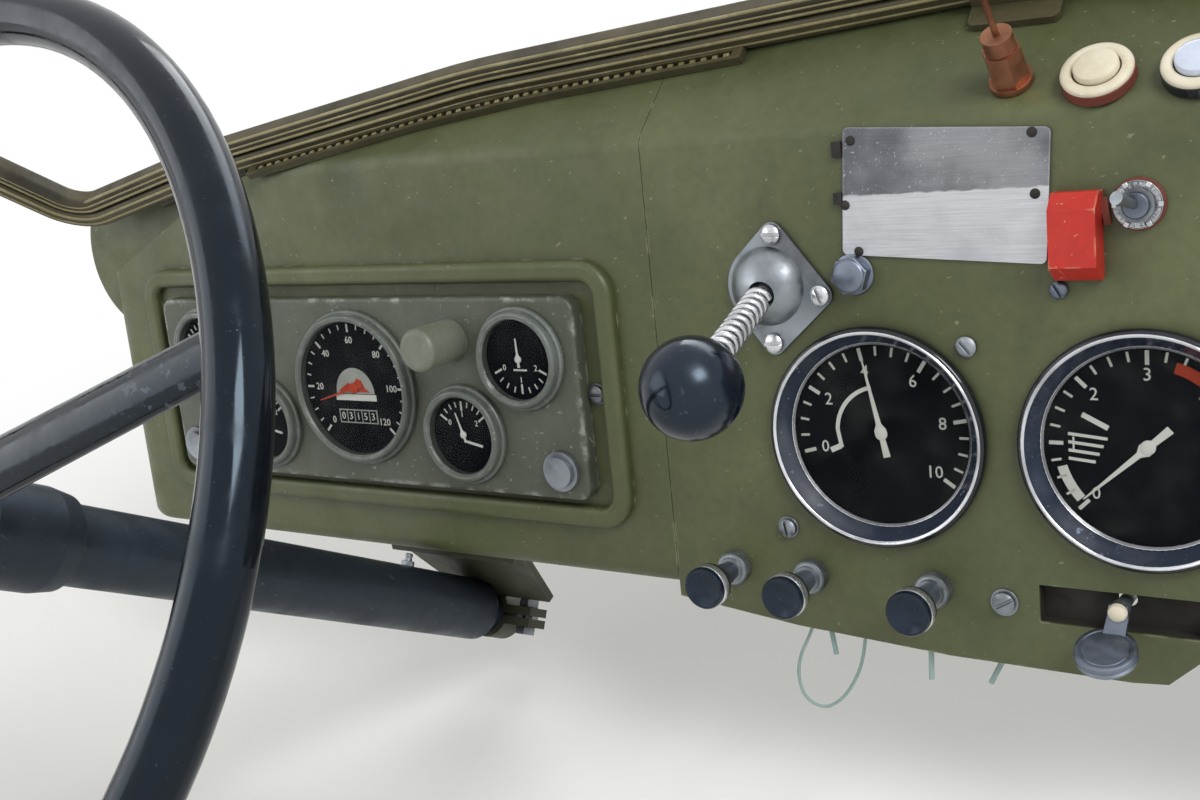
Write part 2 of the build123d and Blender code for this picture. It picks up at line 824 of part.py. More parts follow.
# Shelf: valve and lamps
with BuildPart() as shelf_valve:
    with BuildSketch(SHELF.offset(seat_gap)):
        with Locations((valve_x, valve_s)):
            Circle(valve_radius + 1)
    extrude(amount=3)
    with BuildSketch(SHELF.offset(seat_gap + 3)):
        with Locations((valve_x, valve_s)):
            RegularPolygon(valve_radius, 6)
    extrude(amount=19)
    with BuildSketch(SHELF.offset(seat_gap + 22)):
        with Locations((valve_x, valve_s)):
            Circle(valve_radius - 2)
    extrude(amount=9)
    with BuildSketch(SHELF.offset(seat_gap + 31)):
        with Locations((valve_x, valve_s)):
            Circle(1.6)
    extrude(amount=40)
save(shelf_valve, "shelf_valve")

with BuildPart() as shelf_lamps:
    for x in lamp_places:
        with BuildSketch(SHELF.offset(seat_gap)):
            with Locations((x, lamp_s)):
                Circle(lamp_radius)
        extrude(amount=8)
        with BuildSketch(SHELF.offset(seat_gap + 8)):
            with Locations((x, lamp_s)):
                Circle(lamp_lens)
        extrude(amount=3)
save(shelf_lamps, "shelf_lamps")

# Windscreen rail, its seal, the centre pillar's foot and the defroster strips

def rail_line(up):
    """Right half of the rail's centre line, up above the shelf plane and inboard on the post."""
    setback = Vector(0, -face_setback, 0)
    shoulder = shelf_point(*rail_shoulder, up)
    foot = Vector(*rail_foot) + setback + SHELF.z_dir * up
    inboard = (shoulder - foot).normalized()
    foot = foot + inboard * up
    post = Vector(*rail_post) + setback + SHELF.z_dir * up + inboard * up
    radii = rail_radii[:2] + [rail_radii[2] - up]
    return FilletPolyline(
        shelf_point(0, rail_middle_s, up), shelf_point(*rail_bend, up), shoulder, foot, post, radius=radii
    )


def rail_bar(up, width, height):
    """Bar of rounded section along the rail's line, both halves joined at the middle."""
    with BuildPart() as bar:
        with BuildLine():
            path = rail_line(up)
        section = Plane(origin=path @ 0, x_dir=SHELF.y_dir, z_dir=path % 0)
        with BuildSketch(section):
            RectangleRounded(width, height, 3)
        sweep(path=path)
        split(bisect_by=Plane.YZ, keep=Keep.TOP)
        mirror(about=Plane.YZ)
    return bar.part


with BuildPart() as windscreen_rail:
    add(rail_bar(rail_height / 2 + seat_gap, rail_width, rail_height))
save(windscreen_rail, "windscreen_rail")

with BuildPart() as windscreen_seal:
    add(rail_bar(rail_height + seal_size / 2 + 2 * seat_gap, seal_size, seal_size))
save(windscreen_seal, "windscreen_seal")

foot_seat = 3 * seat_gap + rail_height + seal_size
rail_setback = 1 + foot_width / 2 * (rail_middle_s - rail_bend[1]) / rail_bend[0]
foot_wall = rail_middle_s - rail_width / 2 - rail_setback - foot_sheet

with BuildPart() as pillar_foot:
    with BuildSketch(SHELF.offset(foot_seat)):
        with Locations((0, rail_middle_s)):
            RectangleRounded(foot_width, foot_depth, 5)
    extrude(amount=foot_height, dir=(0, -0.35, 1))
    with BuildSketch(SHELF.offset(seat_gap)):
        with Locations((0, foot_wall + foot_sheet / 2)):
            Rectangle(foot_width, foot_sheet)
    extrude(amount=foot_seat - seat_gap + foot_sheet)
    with BuildSketch(SHELF.offset(seat_gap)):
        with Locations((0, (foot_toe + foot_wall) / 2)):
            RectangleRounded(foot_width, foot_wall - foot_toe + 2 * foot_sheet, foot_sheet)
    extrude(amount=foot_sheet)
    with BuildSketch(SHELF.offset(foot_seat)):
        with Locations((0, (foot_wall + rail_middle_s) / 2)):
            Rectangle(foot_width, rail_middle_s - foot_wall)
    extrude(amount=foot_sheet)
save(pillar_foot, "pillar_foot")

# Defroster strips along the rail, each with its slot
strip_reach = (150.0, shoulder_x - 25.0)
strip_width = 9.0
strip_height = 5.0
strip_slot = 4.0
strip_floor = 1.0
strip_turn = 40.0           # the strip bends over this much each side of the rail's bend
strip_end_wall = 6.0
strip_offset = rail_width / 2 + strip_width / 2 + seat_gap


def along_rail(x, back):
    """Place on the shelf, back from the rail's middle line, at x on the right half."""
    run = [(0.0, rail_middle_s), rail_bend, rail_shoulder]
    (x0, s0), (x1, s1) = (run[0], run[1]) if x < rail_bend[0] else (run[1], run[2])
    return (x, s0 + (s1 - s0) * (x - x0) / (x1 - x0) - back)


def strip_outline(width, trim):
    """Band beside the rail, bent where the rail bends."""
    stations = (
        strip_reach[0] + trim,
        rail_bend[0] - strip_turn,
        rail_bend[0] + strip_turn,
        strip_reach[1] - trim,
    )
    near = [along_rail(x, strip_offset - width / 2) for x in stations]
    back = [along_rail(x, strip_offset + width / 2) for x in stations]
    return near + back[::-1]


with BuildPart() as defroster_strips:
    with BuildSketch(SHELF.offset(seat_gap)):
        Polygon(*strip_outline(strip_width, 0), align=None)
    extrude(amount=strip_height)
    with BuildSketch(SHELF.offset(seat_gap + strip_floor)):
        Polygon(*strip_outline(strip_slot, strip_end_wall), align=None)
    extrude(amount=strip_height, mode=Mode.SUBTRACT)
    mirror(about=Plane.YZ)
save(defroster_strips, "defroster_strips")

# Steering wheel, turned with its shaft
with BuildPart() as wheel_rim:
    with BuildSketch(Plane(origin=COLUMN.origin, x_dir=COLUMN.x_dir, z_dir=-COLUMN.y_dir)):
        with Locations((rim_radius, 0)):
            Circle(rim_section)
    revolve(axis=Axis(COLUMN.origin, COLUMN.z_dir), revolution_arc=360)
save(wheel_rim, "wheel_rim")

spoke_inner = hub_radius - 6
with BuildPart() as wheel_spokes:
    with BuildSketch(COLUMN.offset(hub_top)):
        Circle(hub_radius)
    extrude(amount=-hub_length)
    fillet(wheel_spokes.edges().filter_by(GeomType.CIRCLE).sort_by(Axis((0, 0, 0), COLUMN.z_dir))[-1], 5)
    for angle in spoke_angles:
        out = Vector(cos(radians(angle)), sin(radians(angle)), 0)
        root_point = COLUMN.from_local_coords(out * spoke_inner + Vector(0, 0, -spoke_dish))
        tip_point = COLUMN.from_local_coords(out * rim_radius)
        spoke_dir = (tip_point - root_point).normalized()
        side_dir = spoke_dir.cross(COLUMN.z_dir).normalized()
        with BuildSketch(Plane(origin=root_point, x_dir=side_dir, z_dir=spoke_dir)):
            Ellipse(spoke_root[0] / 2, spoke_root[1] / 2)
        with BuildSketch(Plane(origin=tip_point, x_dir=side_dir, z_dir=spoke_dir)):
            Ellipse(spoke_tip[0] / 2, spoke_tip[1] / 2)
        loft()
    with BuildSketch(Plane(origin=COLUMN.origin, x_dir=COLUMN.x_dir, z_dir=-COLUMN.y_dir)):
        with Locations((rim_radius, 0)):
            Circle(rim_section + seat_gap)
    revolve(axis=Axis(COLUMN.origin, COLUMN.z_dir), revolution_arc=360, mode=Mode.SUBTRACT)
    with BuildSketch(COLUMN.offset(-spoke_dish)):
        Circle(shaft_radius)
    extrude(amount=-hub_length, mode=Mode.SUBTRACT)
save(wheel_spokes, "wheel_spokes")

with BuildPart() as horn_button:
    with BuildSketch(COLUMN.offset(hub_top)):
        Circle(horn_radius)
    extrude(amount=horn_height)
    fillet(horn_button.edges().sort_by(Axis((0, 0, 0), COLUMN.z_dir))[-1], horn_height - 3)
save(horn_button, "horn_button")

with BuildPart() as steering_shaft:
    with BuildSketch(COLUMN.offset(-spoke_dish)):
        Circle(shaft_radius)
    extrude(amount=spoke_dish - shaft_end + shaft_tip_length)
    with BuildSketch(COLUMN.offset(-shaft_end)):
        Circle(shaft_tip_radius)
    extrude(amount=shaft_tip_length)
save(steering_shaft, "steering_shaft")

# Column, fixed to the dashboard
bush_bore = shaft_radius + shaft_clearance


def column_ring(outer, inner, start, end):
    """Ring about the column's axis between two distances below the rim's plane."""
    with BuildPart() as ring:
        with BuildSketch(COLUMN.offset(-start)):
            Circle(outer)
            Circle(inner, mode=Mode.SUBTRACT)
        extrude(amount=start - end)
    return ring.part


with BuildPart() as column_tube:
    add(column_ring(tube_radius, tube_radius - tube_wall, tube_start, tube_end))
    outer_edge = column_tube.edges().filter_by(GeomType.CIRCLE).sort_by(Axis((0, 0, 0), COLUMN.z_dir))[:2]
    fillet(outer_edge.sort_by(SortBy.LENGTH)[-1], tube_wall - 0.4)
    add(column_ring(tube_radius - tube_wall, bush_bore, tube_end - bush_length, tube_end))
    add(column_ring(nose_radius, bush_bore, tube_end, nose_end))
save(column_tube, "column_tube")

with BuildPart() as column_collar:
    with BuildSketch(Plane(origin=COLUMN.origin, x_dir=COLUMN.x_dir, z_dir=-COLUMN.y_dir)):
        Polygon(
            (bush_bore, -collar_start),
            (collar_radius - 4, -collar_start),
            (collar_radius, -collar_start - 6),
            (collar_radius, -collar_end + 12),
            (tube_radius + 4, -collar_end),
            (tube_radius + seat_gap, -collar_end),
            (tube_radius + seat_gap, -tube_start + seat_gap),
            (bush_bore, -tube_start + seat_gap),
            align=None,
        )
    revolve(axis=Axis(COLUMN.origin, COLUMN.z_dir), revolution_arc=360)
save(column_collar, "column_collar")

# Hanger: a strap from the bottom flange to a split ring round the bearing nose
ring_outer = nose_radius + seat_gap + clamp_wall
clamp_centre = COLUMN.from_local_coords((0, 0, -clamp_start - clamp_width / 2))
clamp_out = FACE.to_local_coords(clamp_centre).Z
clamp_v = FACE.to_local_coords(clamp_centre).Y
strap_sheet = 5.0
strap_outline = [           # seen from the front: across from the column, down the face
    (-34.0, side_bottom + 5),
    (78.0, side_bottom + 5),
    (42.0, clamp_v - 10),
    (-22.0, clamp_v - 10),
]
lug_reach = 22.0
lug_height = 14.0

with BuildPart() as column_clamp:
    with BuildSketch(along_face(wheel_x - far / 2)):
        with BuildLine():
            Polyline(
                (side_bottom_radius + 2, side_bottom - seat_gap - strap_sheet / 2),
                (flange_width - 1, side_bottom - seat_gap - strap_sheet / 2),
                (-clamp_out, clamp_v + nose_radius + strap_sheet / 2),
            )
        trace(line_width=strap_sheet)
    extrude(amount=far)
    with BuildSketch(FACE):
        Polygon(*[(wheel_x + across_by, v) for across_by, v in strap_outline], align=None)
    extrude(amount=-far, mode=Mode.INTERSECT)
    add(column_ring(ring_outer, nose_radius, clamp_start, clamp_start + clamp_width))
    with BuildSketch(COLUMN.offset(-clamp_start)):
        with Locations((ring_outer + lug_reach / 2 - 2, 0)):
            Rectangle(lug_reach, lug_height)
    extrude(amount=-clamp_width)
    for radius, start, end in [
        (nose_radius + seat_gap, tube_end, nose_end),
        (tube_radius + 1, tube_start, tube_end + 1),
    ]:
        with BuildSketch(COLUMN.offset(-start)):
            Circle(radius)
        extrude(amount=start - end, mode=Mode.SUBTRACT)
    with BuildSketch(COLUMN.offset(-clamp_start + 1)):
        with Locations((ring_outer, 0)):
            Rectangle(2 * lug_reach, 2)
    extrude(amount=-clamp_width - 2, mode=Mode.SUBTRACT)
save(column_clamp, "column_clamp")

# Glovebox bin behind the passenger's side
bin_margin = opening_margin + 1.0
bin_wall = 1.2
bin_lip = 10.0
bin_width = panel_width - 2 * bin_margin
bin_height = panel_height - 2 * bin_margin

with BuildPart() as glovebox_bin:
    with BuildSketch(FACE.offset(-sheet - seat_gap)):
        with Locations((frame_x, panel_mid)):
            Rectangle(bin_width + 2 * bin_lip, bin_height + 2 * bin_lip)
    extrude(amount=-bin_wall)
    with BuildSketch(FACE.offset(-sheet - seat_gap)):
        with Locations((frame_x, panel_mid)):
            RectangleRounded(bin_width, bin_height, panel_corner)
    extrude(amount=-bin_depth)
    with BuildSketch(FACE.offset(-sheet - seat_gap)):
        with Locations((frame_x, panel_mid)):
            RectangleRounded(bin_width - 2 * bin_wall, bin_height - 2 * bin_wall, panel_corner - bin_wall)
    extrude(amount=-bin_depth + bin_wall, mode=Mode.SUBTRACT)
save(glovebox_bin, "glovebox_bin")

# Glovebox lid, hinged along its bottom edge
lid_bottom = frame_mid - frame_height / 2 + frame_bead + lid_gap
lid_top = frame_mid + frame_height / 2 - frame_bead - lid_gap
lid_height = lid_top - lid_bottom
lid_mid = (lid_top + lid_bottom) / 2
hinge_v = lid_bottom - hinge_radius


def knuckle_ring(start, end, inner):
    """Hinge knuckle between two distances from the lid's middle."""
    with BuildPart() as knuckle:
        with BuildSketch(along_face(frame_x + start)):
            with Locations((-hinge_up, hinge_v)):
                Circle(hinge_radius)
                if inner:
                    Circle(inner, mode=Mode.SUBTRACT)
        extrude(amount=end - start)
    return knuckle.part


knuckle_spans = list(zip(knuckle_edges[:-1], knuckle_edges[1:]))
leaf_sheet = 1.2
leaf_foot = 5.0

with BuildPart() as glovebox_hinge:
    for start, end in knuckle_spans[::2]:
        add(knuckle_ring(start, end, 0))
        with BuildSketch(along_face(frame_x + start)):
            Polygon(
                (-seat_gap, hinge_v - leaf_sheet / 2),
                (-seat_gap, hinge_v + leaf_foot),
                (-seat_gap - leaf_sheet, hinge_v + leaf_foot),
                (-seat_gap - leaf_sheet, hinge_v + leaf_sheet / 2),
                (-hinge_up + hinge_radius / 2, hinge_v + leaf_sheet / 2),
                (-hinge_up + hinge_radius / 2, hinge_v - leaf_sheet / 2),
                align=None,
            )
        extrude(amount=end - start)
    with BuildSketch(along_face(frame_x + knuckle_edges[0])):
        with Locations((-hinge_up, hinge_v)):
            Circle(hinge_pin)
    extrude(amount=knuckle_edges[-1] - knuckle_edges[0])
save(glovebox_hinge, "glovebox_hinge")

with BuildPart() as glovebox_lid:
    with BuildSketch(FACE.offset(seat_gap + leaf_sheet + 1)):
        with Locations((frame_x, lid_mid)):
            RectangleRounded(panel_width, lid_height, panel_corner)
    extrude(amount=panel_proud - seat_gap - leaf_sheet - 1)
    fillet(glovebox_lid.faces().sort_by(Axis((0, 0, 0), FACE.z_dir))[-1].edges(), panel_edge_radius)
    with BuildSketch(FACE):
        with Locations((frame_x, lid_mid)):
            RectangleRounded(panel_width - 2 * sheet, lid_height - 2 * sheet, panel_corner - sheet)
    extrude(amount=panel_proud - sheet, mode=Mode.SUBTRACT)
    with BuildSketch(FACE):
        with Locations((frame_x, lid_top - 22)):
            Circle(5)
    extrude(amount=panel_proud + 1, mode=Mode.SUBTRACT)
    for start, end in knuckle_spans[1::2]:
        with BuildSketch(along_face(frame_x + start + knuckle_gap)):
            with Locations((-hinge_up, hinge_v)):
                Circle(hinge_radius)
            with Locations((-hinge_up, hinge_v + hinge_radius / 2 + 0.5)):
                Rectangle(2, hinge_radius + 1)
        extrude(amount=end - start - 2 * knuckle_gap)
        with BuildSketch(along_face(frame_x + start)):
            with Locations((-hinge_up, hinge_v)):
                Circle(hinge_pin + shaft_clearance)
        extrude(amount=end - start, mode=Mode.SUBTRACT)
save(glovebox_lid, "glovebox_lid")

with BuildPart() as lid_latch:
    add(face_disc(frame_x, lid_top - 22, latch_radius, panel_proud, panel_proud + 4))
    add(face_disc(frame_x, lid_top - 22, 4.7, 2, panel_proud))
    with BuildSketch(FACE.offset(panel_proud + 4)):
        with Locations((frame_x, lid_top - 22)):
            Rectangle(20, 5)
    extrude(amount=8)
save(lid_latch, "lid_latch")

# End brackets to the cab's front wall, each with a flange along the face's back
bracket_x = end_inner - seat_gap
bracket_half = bracket_height / 2


def face_back(up):
    """Forward position of the face's back at a height."""
    return -face_setback + up * tan(lean) + (sheet + seat_gap) / cos(lean)


with BuildPart() as end_bracket_left:
    with BuildSketch(Plane.YZ.offset(-bracket_x)):
        Polygon(
            (face_back(-bracket_half), -bracket_half),
            (-bracket_sheet, -bracket_half),
            (-bracket_sheet, bracket_half),
            (face_back(bracket_front_top), bracket_front_top),
            align=None,
        )
    extrude(amount=bracket_sheet)
    with BuildSketch(FACE.offset(-sheet - seat_gap)):
        with Locations((-bracket_x + bracket_flange / 2, (bracket_front_top - bracket_half) / 2)):
            Rectangle(bracket_flange, bracket_half + bracket_front_top)
    extrude(amount=-bracket_sheet)
    with BuildSketch(Plane.XZ):
        with Locations((-bracket_x + bracket_foot / 2, 0)):
            Rectangle(bracket_foot, bracket_height)
        with GridLocations(bolt_spacing_x, bolt_spacing_z, 2, 2):
            Circle(bolt_hole, mode=Mode.SUBTRACT)
    extrude(amount=bracket_sheet)
save(end_bracket_left, "end_bracket_left")

with BuildPart() as end_bracket_right:
    add(mirror(end_bracket_left.part, about=Plane.YZ))
save(end_bracket_right, "end_bracket_right")

# Grab handle over the glovebox
with BuildPart() as grab_handle:
    with BuildLine():
        handle_path = FilletPolyline(
            on_face(frame_x - handle_span / 2, handle_v, 4),
            on_face(frame_x - handle_span / 2, handle_v, handle_reach),
            on_face(frame_x + handle_span / 2, handle_v, handle_reach),
            on_face(frame_x + handle_span / 2, handle_v, 4),
            radius=24,
        )
    with BuildSketch(Plane(origin=handle_path @ 0, z_dir=handle_path % 0)):
        Circle(handle_radius)
    sweep(path=handle_path)
    with BuildSketch(FACE.offset(seat_gap)):
        with Locations(
            (frame_x - handle_span / 2, handle_v),
            (frame_x + handle_span / 2, handle_v),
        ):
            RectangleRounded(*handle_foot, handle_radius)
    extrude(amount=4)
save(grab_handle, "grab_handle")

# Wire loop that hangs below the centre section
wire_points = [on_face(x, v, -depth) for x, v, depth in wire_route]
runs = [(b - a).length for a, b in zip(wire_points, wire_points[1:])]
wire_radii = []
for before, here, after, run_in, run_out in zip(
    wire_points, wire_points[1:], wire_points[2:], runs, runs[1:]
):
    turn = radians((here - before).get_angle(after - here))
    wire_radii.append(0.45 * min(run_in, run_out) / tan(turn / 2))
print("wire radii", [round(radius, 1) for radius in wire_radii], "runs", [round(run, 1) for run in runs])

with BuildPart() as wire_loop:
    with BuildLine():
        wire_path = FilletPolyline(*wire_points, radius=wire_radii)
    with BuildSketch(Plane(origin=wire_path @ 0, z_dir=wire_path % 0)):
        Circle(wire_radius)
    sweep(path=wire_path)
save(wire_loop, "wire_loop")
print("wire length", round(wire_path.length, 1))
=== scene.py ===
import math

import bmesh
import bpy
from mathutils import Matrix, Vector


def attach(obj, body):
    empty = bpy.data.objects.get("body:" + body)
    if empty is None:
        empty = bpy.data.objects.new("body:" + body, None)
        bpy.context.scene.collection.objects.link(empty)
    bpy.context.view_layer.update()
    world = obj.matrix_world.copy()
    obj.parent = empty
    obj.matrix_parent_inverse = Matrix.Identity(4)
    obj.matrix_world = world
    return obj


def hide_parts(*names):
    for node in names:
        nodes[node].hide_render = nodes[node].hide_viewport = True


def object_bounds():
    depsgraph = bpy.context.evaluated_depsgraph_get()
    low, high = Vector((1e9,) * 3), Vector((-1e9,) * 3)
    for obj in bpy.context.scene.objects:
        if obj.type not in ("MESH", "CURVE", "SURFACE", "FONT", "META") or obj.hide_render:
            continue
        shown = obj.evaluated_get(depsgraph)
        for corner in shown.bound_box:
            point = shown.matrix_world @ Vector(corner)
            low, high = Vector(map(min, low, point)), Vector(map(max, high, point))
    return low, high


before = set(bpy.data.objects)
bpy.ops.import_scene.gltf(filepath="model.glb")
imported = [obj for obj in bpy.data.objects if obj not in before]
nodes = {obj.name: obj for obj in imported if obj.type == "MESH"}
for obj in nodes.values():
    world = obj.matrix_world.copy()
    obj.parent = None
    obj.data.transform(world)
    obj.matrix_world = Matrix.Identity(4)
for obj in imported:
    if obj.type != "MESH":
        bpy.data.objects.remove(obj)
cad_low, cad_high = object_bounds()

# Pieces are drawn in millimetres in a local frame: x to the driver's right, y up the surface,
# z out of it. The frames turn them into the shared frame's metres.
MM = 0.001
face_lean = math.radians(15.0)
shelf_rise = math.radians(28.0)
column_rake = math.radians(41.0)
face_setback = 210.0
bend_height = 150.0
wheel_centre = (-408.0, -548.0, 118.0)

# Fronts of the small gauges' rims, and the dials, out of the face; marks stand out of the dials
small_front = 19.0
small_level = 13.0
pressure_level = -7.0
mark_lift = 0.25
small_places = [(-290, 26), (-340, -23.5), (-518, -23.5), (-568, 26)]
speedometer_place = (-429, 4)
pressure_places = [(-68, -14.5), (68, -14.5)]


def local_frame(origin, out):
    """Matrix from a local frame in millimetres to metres; its x runs across the cab."""
    z_axis = Vector(out).normalized()
    x_axis = Vector((1, 0, 0))
    y_axis = z_axis.cross(x_axis)
    turn = Matrix((x_axis, y_axis, z_axis)).transposed().to_4x4()
    return Matrix.Translation(Vector(origin) * MM) @ turn @ Matrix.Scale(MM, 4)


FACE = local_frame((0, -face_setback, 0), (0, -math.cos(face_lean), math.sin(face_lean)))
bend_line = FACE @ Vector((0, bend_height, 0)) / MM
SHELF = local_frame(bend_line, (0, -math.sin(shelf_rise), math.cos(shelf_rise)))
COLUMN = local_frame(wheel_centre, (0, -math.cos(column_rake), math.sin(column_rake)))


def shifted(place, x=0.0, y=0.0, z=0.0, turn=0.0):
    """The same frame moved by millimetres and turned about its z axis by degrees."""
    return place @ Matrix.Translation((x, y, z)) @ Matrix.Rotation(math.radians(turn), 4, "Z")


def placed(name, data):
    """New object in the scene."""
    made = bpy.data.objects.new(name, data)
    bpy.context.scene.collection.objects.link(made)
    return made


# Finishes
def srgb(colour):
    """Linear colour of an sRGB triple given from 0 to 255."""
    values = [c / 255 for c in colour]
    return [c / 12.92 if c <= 0.04 else ((c + 0.055) / 1.055) ** 2.4 for c in values] + [1.0]


def toned(colour, factor, lift=0.0):
    """Linear colour made darker or paler."""
    return [min(1.0, factor * c + lift) for c in colour[:3]] + [1.0]


def feed(tree, socket, value):
    """Set an input to a value, or link it to another node's output."""
    if isinstance(value, bpy.types.NodeSocket):
        tree.links.new(value, socket)
    else:
        socket.default_value = value


def add_node(tree, kind, inputs=None, **settings):
    """New node with its inputs and settings."""
    made = tree.nodes.new(kind)
    for key, value in settings.items():
        setattr(made, key, value)
    for socket, value in (inputs or {}).items():
        feed(tree, made.inputs[socket], value)
    return made


class Finish:
    """Node graph of one material, built up from noise, worn edges and painted shade in the corners."""

    short_names = {"shine": "Specular IOR Level", "tint": "Specular Tint", "coat": "Coat Weight"}
    scratch_turns = [(0.3, 0.2, 0.5), (0.9, -0.4, 1.9), (-0.5, 0.8, 2.9)]

    def __init__(self, name, **constants):
        self.material = bpy.data.materials.new(name)
        self.material.use_nodes = True
        self.tree = self.material.node_tree
        self.shader = self.tree.nodes["Principled BSDF"]
        self.place = self.node("ShaderNodeTexCoord").outputs["Object"]
        for key, value in constants.items():
            self.shader.inputs[self.short_names.get(key, key)].default_value = value

    def node(self, kind, inputs=None, **settings):
        return add_node(self.tree, kind, inputs, **settings)

    def noise(self, scale, detail=3.0, stretch=(1, 1, 1), turn=(0, 0, 0), seed=0.0):
        """Noise from 0 to 1; scale is in cells per metre."""
        turned = self.node("ShaderNodeMapping", {"Vector": self.place, "Rotation": turn})
        inputs = {"Vector": turned.outputs[0], "Scale": stretch, "Location": (seed, -seed, seed)}
        moved = self.node("ShaderNodeMapping", inputs)
        inputs = {"Vector": moved.outputs[0], "Scale": scale, "Detail": detail, "Roughness": 0.55}
        return self.node("ShaderNodeTexNoise", inputs).outputs[0]

    def step(self, value, low, high, to_low=0.0, to_high=1.0):
        """Smooth rise of value between low and high."""
        inputs = {0: value, 1: low, 2: high, 3: to_low, 4: to_high}
        return self.node("ShaderNodeMapRange", inputs, interpolation_type="SMOOTHSTEP").outputs[0]

    def clouds(self, scale, detail, low, high, to_low=0.0, to_high=1.0, **settings):
        """Noise with its rise between low and high, which leaves patches."""
        return self.step(self.noise(scale, detail, **settings), low, high, to_low, to_high)

    def math(self, operation, *values):
        """Result of an operation on two values, or on more of them from left to right."""
        result = values[0]
        for value in values[1:]:
            result = self.node("ShaderNodeMath", {0: result, 1: value}, operation=operation).outputs[0]
        return result

    def vectors(self, operation, a, b):
        """Outputs of a calculation with two vectors."""
        return self.node("ShaderNodeVectorMath", {0: a, 1: b}, operation=operation).outputs

    def times(self, *factors):
        return self.math("MULTIPLY", *factors)

    def most(self, *values):
        return self.math("MAXIMUM", *values)

    def mix(self, share, a, b):
        return self.node("ShaderNodeMix", {0: share, 6: a, 7: b}, data_type="RGBA").outputs[2]

    def edges(self, radius, low=0.02, high=0.2):
        """Mask of the sharp edges, where a rounded normal leaves the true one."""
        rounded = self.node("ShaderNodeBevel", {"Radius": radius * MM}, samples=2).outputs[0]
        true = self.node("ShaderNodeNewGeometry").outputs["Normal"]
        return self.step(self.vectors("DOT_PRODUCT", rounded, true)["Value"], 1 - low, 1 - high)

    def shade_in_hollows(self, distance):
        """Mask of corners and gaps, where painted shade darkens them."""
        open_sky = self.node("ShaderNodeAmbientOcclusion", {"Distance": distance * MM}, samples=3)
        return self.step(open_sky.outputs["AO"], 0.75, 0.2)

    def away(self, origin):
        """Distance in metres from origin."""
        return self.vectors("DISTANCE", self.place, origin)["Value"]

    def upward(self):
        """1 on faces that look up."""
        normal = self.node("ShaderNodeNewGeometry").outputs["Normal"]
        height = self.node("ShaderNodeSeparateXYZ", {0: normal}).outputs["Z"]
        return self.step(height, 0.2, 0.9)

    def scratches(self, amount, seed=0.0, scale=9.0):
        """Thin bright lines in three directions; amount from 0 to 1."""
        edge = 0.79 - 0.05 * amount
        lines = []
        for number, turn in enumerate(self.scratch_turns):
            fibres = self.noise(scale, 1.0, (1, 45, 45), turn, seed + 3.1 * number)
            lines.append(self.step(fibres, edge, edge + 0.03))
        return self.most(*lines)

    def end(self, colour, rough=None, metal=None, height=None, strength=0.3, depth=0.5):
        """Join the graph to the shader; height is a bump whose depth is in millimetres."""
        inputs = {"Base Color": colour, "Roughness": rough, "Metallic": metal}
        if height is not None:
            bump = {"Height": height, "Strength": strength, "Distance": depth * MM}
            inputs["Normal"] = self.node("ShaderNodeBump", bump).outputs[0]
        for socket, value in inputs.items():
            if value is not None:
                feed(self.tree, self.shader.inputs[socket], value)
        return self.material


def painted(
    name, base, pale, dark, under, wear=0.5, gloss=0.5, bare=0, corner_shade=0.6, seed=0.0,
    edge=(1.8, 0.02, 0.2), **constants
):
    """Old brushed paint: faded patches, stains, painted shade in the corners and worn edges."""
    base, pale, dark, under = srgb(base), srgb(pale), srgb(dark), srgb(under)
    f = Finish(name, **constants)
    faded = f.clouds(5, 4, 0.42, 0.72, 0, 0.6, seed=seed)
    stains = f.clouds(13, 5, 0.5, 0.78, 0, 0.55, seed=seed + 4)
    runs = f.clouds(8, 4, 0.55, 0.8, 0, 0.4, stretch=(5, 5, 0.5), seed=seed + 9)
    grain = f.clouds(170, 4, 0.35, 0.7, 0, 0.22, seed=seed)
    colour = f.mix(faded, base, pale)
    for dirt in (stains, runs, grain):
        colour = f.mix(dirt, colour, dark)
    # Painted shade: corners and gaps darkened towards a deep tone of the stained colour
    colour = f.mix(f.times(f.shade_in_hollows(26), corner_shade), colour, toned(dark, 0.35))
    chips = f.clouds(75, 4, 0.56 - 0.1 * wear, 0.64, seed=seed + 2)
    specks = f.clouds(330, 2, 0.75 - 0.03 * wear, 0.78, seed=seed + 6)
    speckled = f.clouds(11, 3, 0.45, 0.7, seed=seed + 7)
    lines = f.times(f.scratches(wear, seed), 0.45)
    shown = f.most(f.times(f.edges(*edge), chips), f.times(specks, speckled), lines)
    colour = f.mix(f.times(shown, 0.85), colour, under)
    rough = f.clouds(40, 4, 0.3, 0.75, 0.62 - 0.35 * gloss, 0.8 - 0.3 * gloss, seed=seed + 5)
    height = f.math("ADD", f.noise(420, 3), f.times(f.noise(60, 2), 1.6))
    height = f.math("SUBTRACT", height, f.times(shown, 0.8))
    metal = f.times(shown, bare) if bare else None
    return f.end(colour, rough, metal, height, 0.22, 0.35)


def metal(name, base, dull, rough, seed=0.0):
    """Plain or plated metal with stains, scratches and painted shade in its corners."""
    base, dull = srgb(base), srgb(dull)
    f = Finish(name, Metallic=0.9)
    colour = f.mix(f.clouds(30, 4, 0.4, 0.7, seed=seed), base, dull)
    # Painted shade: corners and gaps darkened
    colour = f.mix(f.times(f.shade_in_hollows(8), 0.75), colour, toned(dull, 0.25))
    lines = f.scratches(0.5, seed, 25)
    colour = f.mix(f.times(lines, 0.4), colour, toned(base, 1.5))
    roughness = f.clouds(110, 4, 0.3, 0.8, rough, rough + 0.3, seed=seed + 1)
    height = f.math("SUBTRACT", f.noise(260, 3, seed=seed), lines)
    return f.end(colour, roughness, None, height, 0.15, 0.2)


